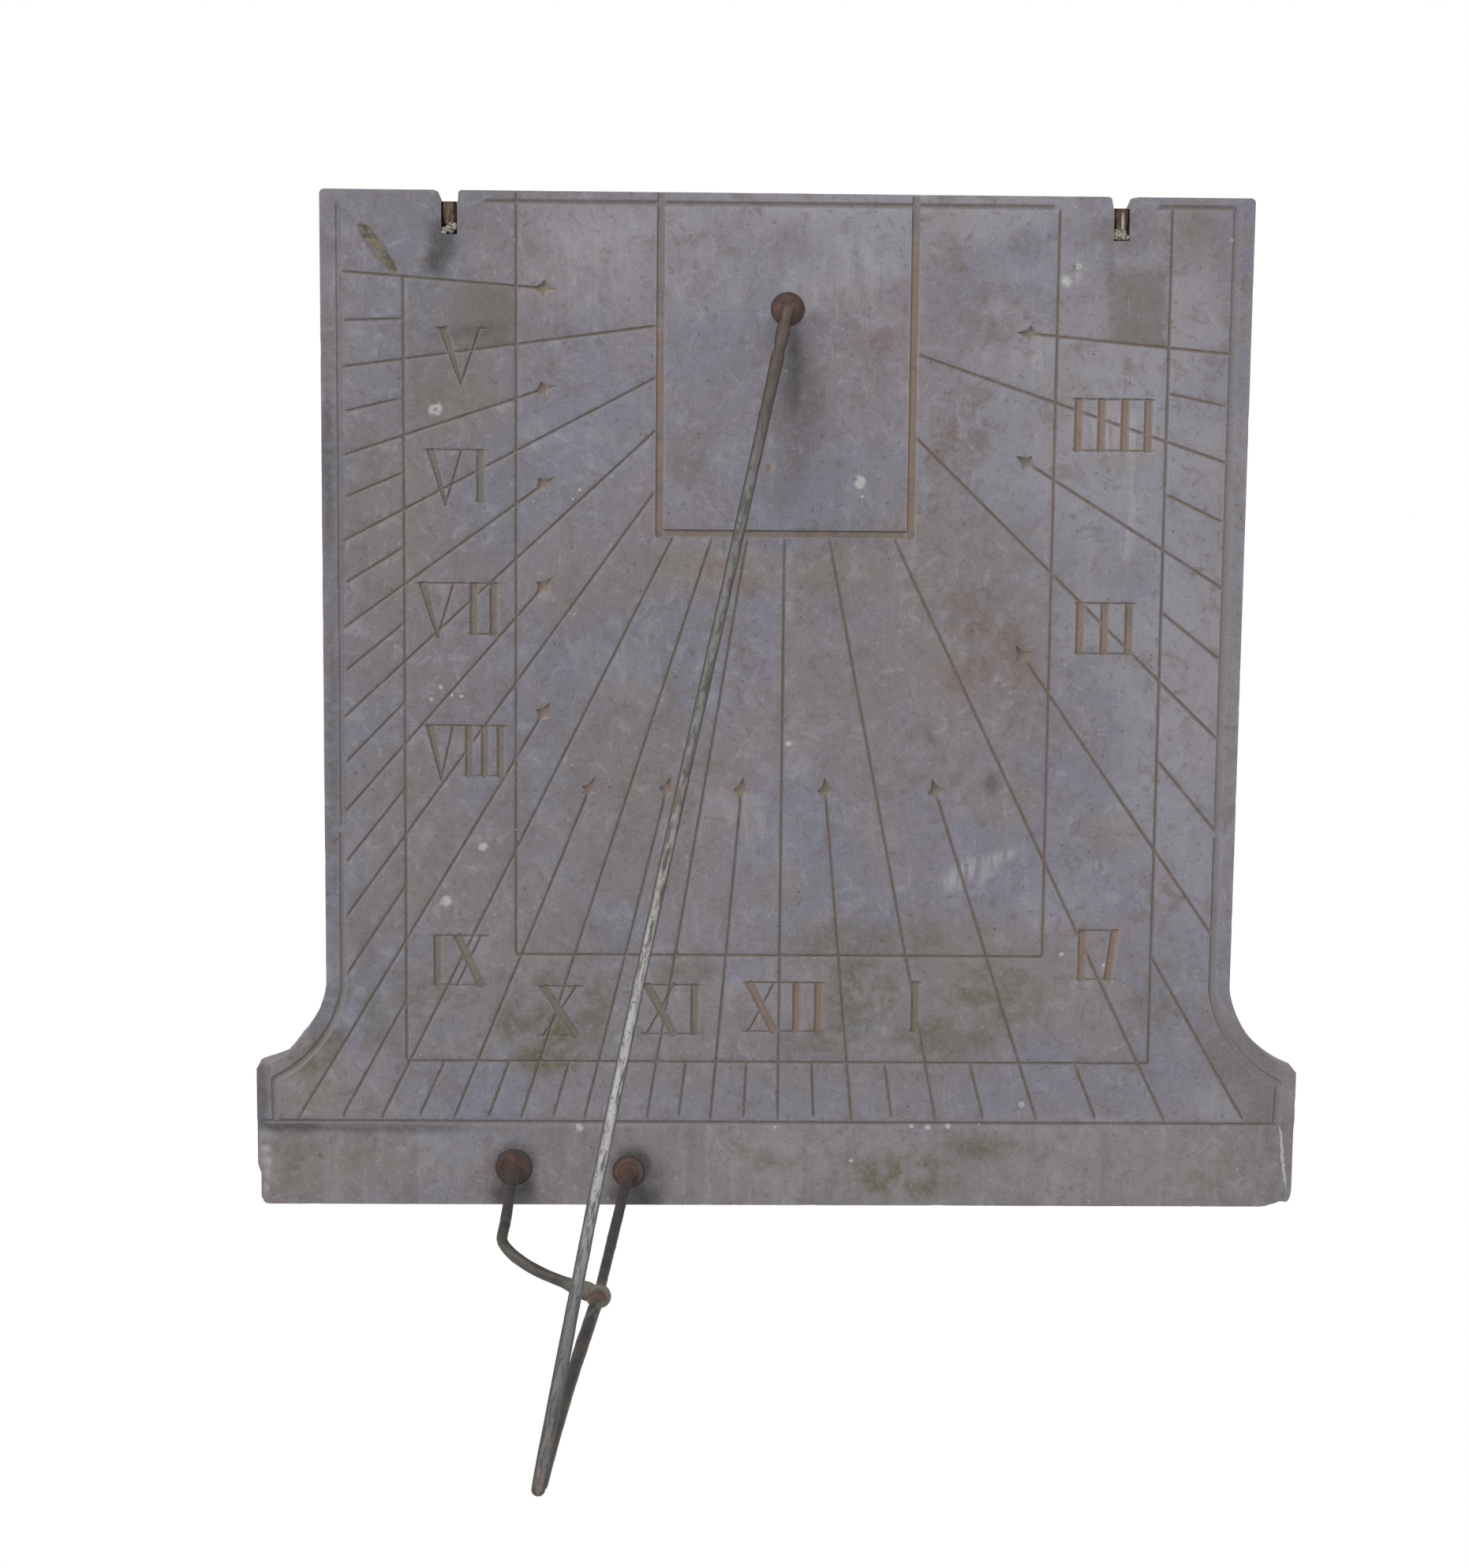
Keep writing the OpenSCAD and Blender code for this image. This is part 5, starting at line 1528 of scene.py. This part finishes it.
def plugPaint():
    # brown blotches with the plug's own stains over them, a darker rim, and painted shade on its lower right
    # side
    s = Paint("stainedLead")
    edge = s.attribute("edge")
    speck, blotch = s.noise(1.6, 4, 0.65), s.noise(6, 5, 0.65)
    colour = s.mix(blotch.step(0.38, 0.6), stainedLead["dark"], stainedLead["brown"])
    colour = s.mix((s.attribute("orange") * (blotch + 0.3)).clamp() * 0.7, colour, stainedLead["orange"])
    colour = s.mix((s.attribute("tan") * (blotch + 0.3)).clamp() * 0.8, colour, stainedLead["tan"])
    colour = s.mix(edge.step(0.6, 1.0) * s.attribute("halo"), colour, stainedLead["halo"])
    # painted shade on the plug's lower right side
    colour = s.mix(s.attribute("shade") * 0.45, colour, stainedLead["shade"])
    colour = s.mix(speck.step(0.58, 0.7) * 0.7, colour, stainedLead["speck"])
    height = speck * 0.6 + blotch * 0.4
    return s.finish(colour, stainedLead["roughness"], height, stainedLead["bump"], stainedLead["specular"])


rustedIron = {
    "dark": (0.075, 0.048, 0.034), "rust": (0.17, 0.115, 0.082), "deep": (0.035, 0.026, 0.022),
    "speck": (0.045, 0.03, 0.024), "streak": (0.5, 0.46, 0.42),
    "roughness": 0.85, "bump": 0.5, "specular": 0.25,
}


def rustPaint():
    # scaly rust with painted shade towards the back of the channel, and one pale streak
    s = Paint("rustedIron")
    speck, blotch = s.noise(1.4, 4, 0.65), s.noise(5, 4, 0.6, (0.5, 1, 1.8))
    front = s.attribute("front")
    colour = s.mix(blotch.step(0.38, 0.62), rustedIron["dark"], rustedIron["rust"])
    # painted shade towards the back of the channel
    colour = s.mix(front.step(0.9, 0.3) * 0.8, colour, rustedIron["deep"])
    colour = s.mix(speck.step(0.58, 0.7) * 0.6, colour, rustedIron["speck"])
    colour = s.mix(s.attribute("streak") * 0.9, colour, rustedIron["streak"])
    height = speck * 0.6 + blotch * 0.6
    return s.finish(colour, rustedIron["roughness"], height, rustedIron["bump"], rustedIron["specular"])


paleLead = {
    "pale": (0.4, 0.37, 0.31), "dirt": (0.1, 0.085, 0.065), "roughness": 0.75, "bump": 0.4, "specular": 0.3,
}


def leadPaint():
    # chalky lead with dirt in its hollows
    s = Paint("paleLead")
    speck = s.noise(1.6, 4, 0.7)
    colour = s.mix(speck.step(0.44, 0.6), paleLead["pale"], paleLead["dirt"])
    return s.finish(colour, paleLead["roughness"], speck, paleLead["bump"], paleLead["specular"])


finishes = {"slate": slatePaint(), "weathered_iron": rodPaint(), "dark_iron": ironPaint(),
            "stained_lead": plugPaint(), "rusted_iron": rustPaint(), "pale_lead": leadPaint()}
cadSlots = {row["node"]: row["material_slot"] for row in frame["record"]["subparts"]}
for piece, slotName in madeFor.items():
    piece.data.materials.append(finishes[slotName])
for node, cad in frame["nodes"].items():
    for holder in cad.material_slots:
        holder.material = finishes[cadSlots[node]]
print("materials made")

# Floor, lamps and world
stage = {"floorDrop": 420, "floorSize": 30, "floorGrey": 0.8, "floorRoughness": 0.9,
         "white": 1.0, "worldStrength": 0.55, "aimedAt": (0, -220, 0),   # millimetres on the dial
         "lamps": (("key", (-1.9, -2.3, 2.4), 1.6, 62), ("fill", (2.2, -2.6, 0.6), 2.6, 16))}


def whiteForCamera(tree, output, behind):
    # camera, mirror and clear-glass rays see plain white; the object is lit by what lies behind
    path = tree.nodes.new("ShaderNodeLightPath")
    most = path.outputs["Is Camera Ray"]
    for name in ("Is Glossy Ray", "Is Transmission Ray"):
        add = tree.nodes.new("ShaderNodeMath")
        add.operation = "MAXIMUM"
        tree.links.new(most, add.inputs[0])
        tree.links.new(path.outputs[name], add.inputs[1])
        most = add.outputs[0]
    mix = tree.nodes.new("ShaderNodeMixShader")
    white = tree.nodes.new("ShaderNodeBackground" if output.type == "OUTPUT_WORLD" else "ShaderNodeEmission")
    white.inputs["Color"].default_value = (1, 1, 1, 1)
    white.inputs["Strength"].default_value = stage["white"]
    tree.links.new(most, mix.inputs[0])
    tree.links.new(behind, mix.inputs[1])
    tree.links.new(white.outputs[0], mix.inputs[2])
    tree.links.new(mix.outputs[0], output.inputs["Surface"])


def makeStage():
    # an even sky, a pale floor well below the slab, and two square lamps aimed at the dial's middle
    world = bpy.data.worlds.new("softSky")
    world.use_nodes = True
    bpy.context.scene.world = world
    nodes = world.node_tree.nodes
    back = nodes["Background"]
    back.inputs["Color"].default_value = (1, 1, 1, 1)
    back.inputs["Strength"].default_value = stage["worldStrength"]
    whiteForCamera(world.node_tree, nodes["World Output"], back.outputs[0])

    floorZ = (slabLow[2] - stage["floorDrop"]) * mm
    size = stage["floorSize"]
    mesh = bpy.data.meshes.new("floor")
    corners = [(-size, -size, floorZ), (size, -size, floorZ), (size, size, floorZ), (-size, size, floorZ)]
    mesh.from_pydata(corners, [], [(0, 1, 2, 3)])
    floor = bpy.data.objects.new("floor", mesh)
    bpy.context.scene.collection.objects.link(floor)
    material = bpy.data.materials.new("paleFloor")
    material.use_nodes = True
    shader = material.node_tree.nodes["Principled BSDF"]
    shader.inputs["Base Color"].default_value = (*[stage["floorGrey"]] * 3, 1)
    shader.inputs["Roughness"].default_value = stage["floorRoughness"]
    whiteForCamera(material.node_tree, material.node_tree.nodes["Material Output"], shader.outputs[0])
    mesh.materials.append(material)

    target = onDial([stage["aimedAt"]])[0]
    for name, place, size, power in stage["lamps"]:
        data = bpy.data.lights.new(name, "AREA")
        data.size, data.energy = size, power
        lamp = bpy.data.objects.new(name, data)
        lamp.location = place
        way = target - place
        tilt = math.atan2(math.hypot(way[0], way[1]), -way[2])
        lamp.rotation_euler = (tilt, 0, math.atan2(-way[0], way[1]))
        bpy.context.scene.collection.objects.link(lamp)
    bpy.context.scene.view_settings.view_transform = "Standard"


makeStage()
print("stage made")
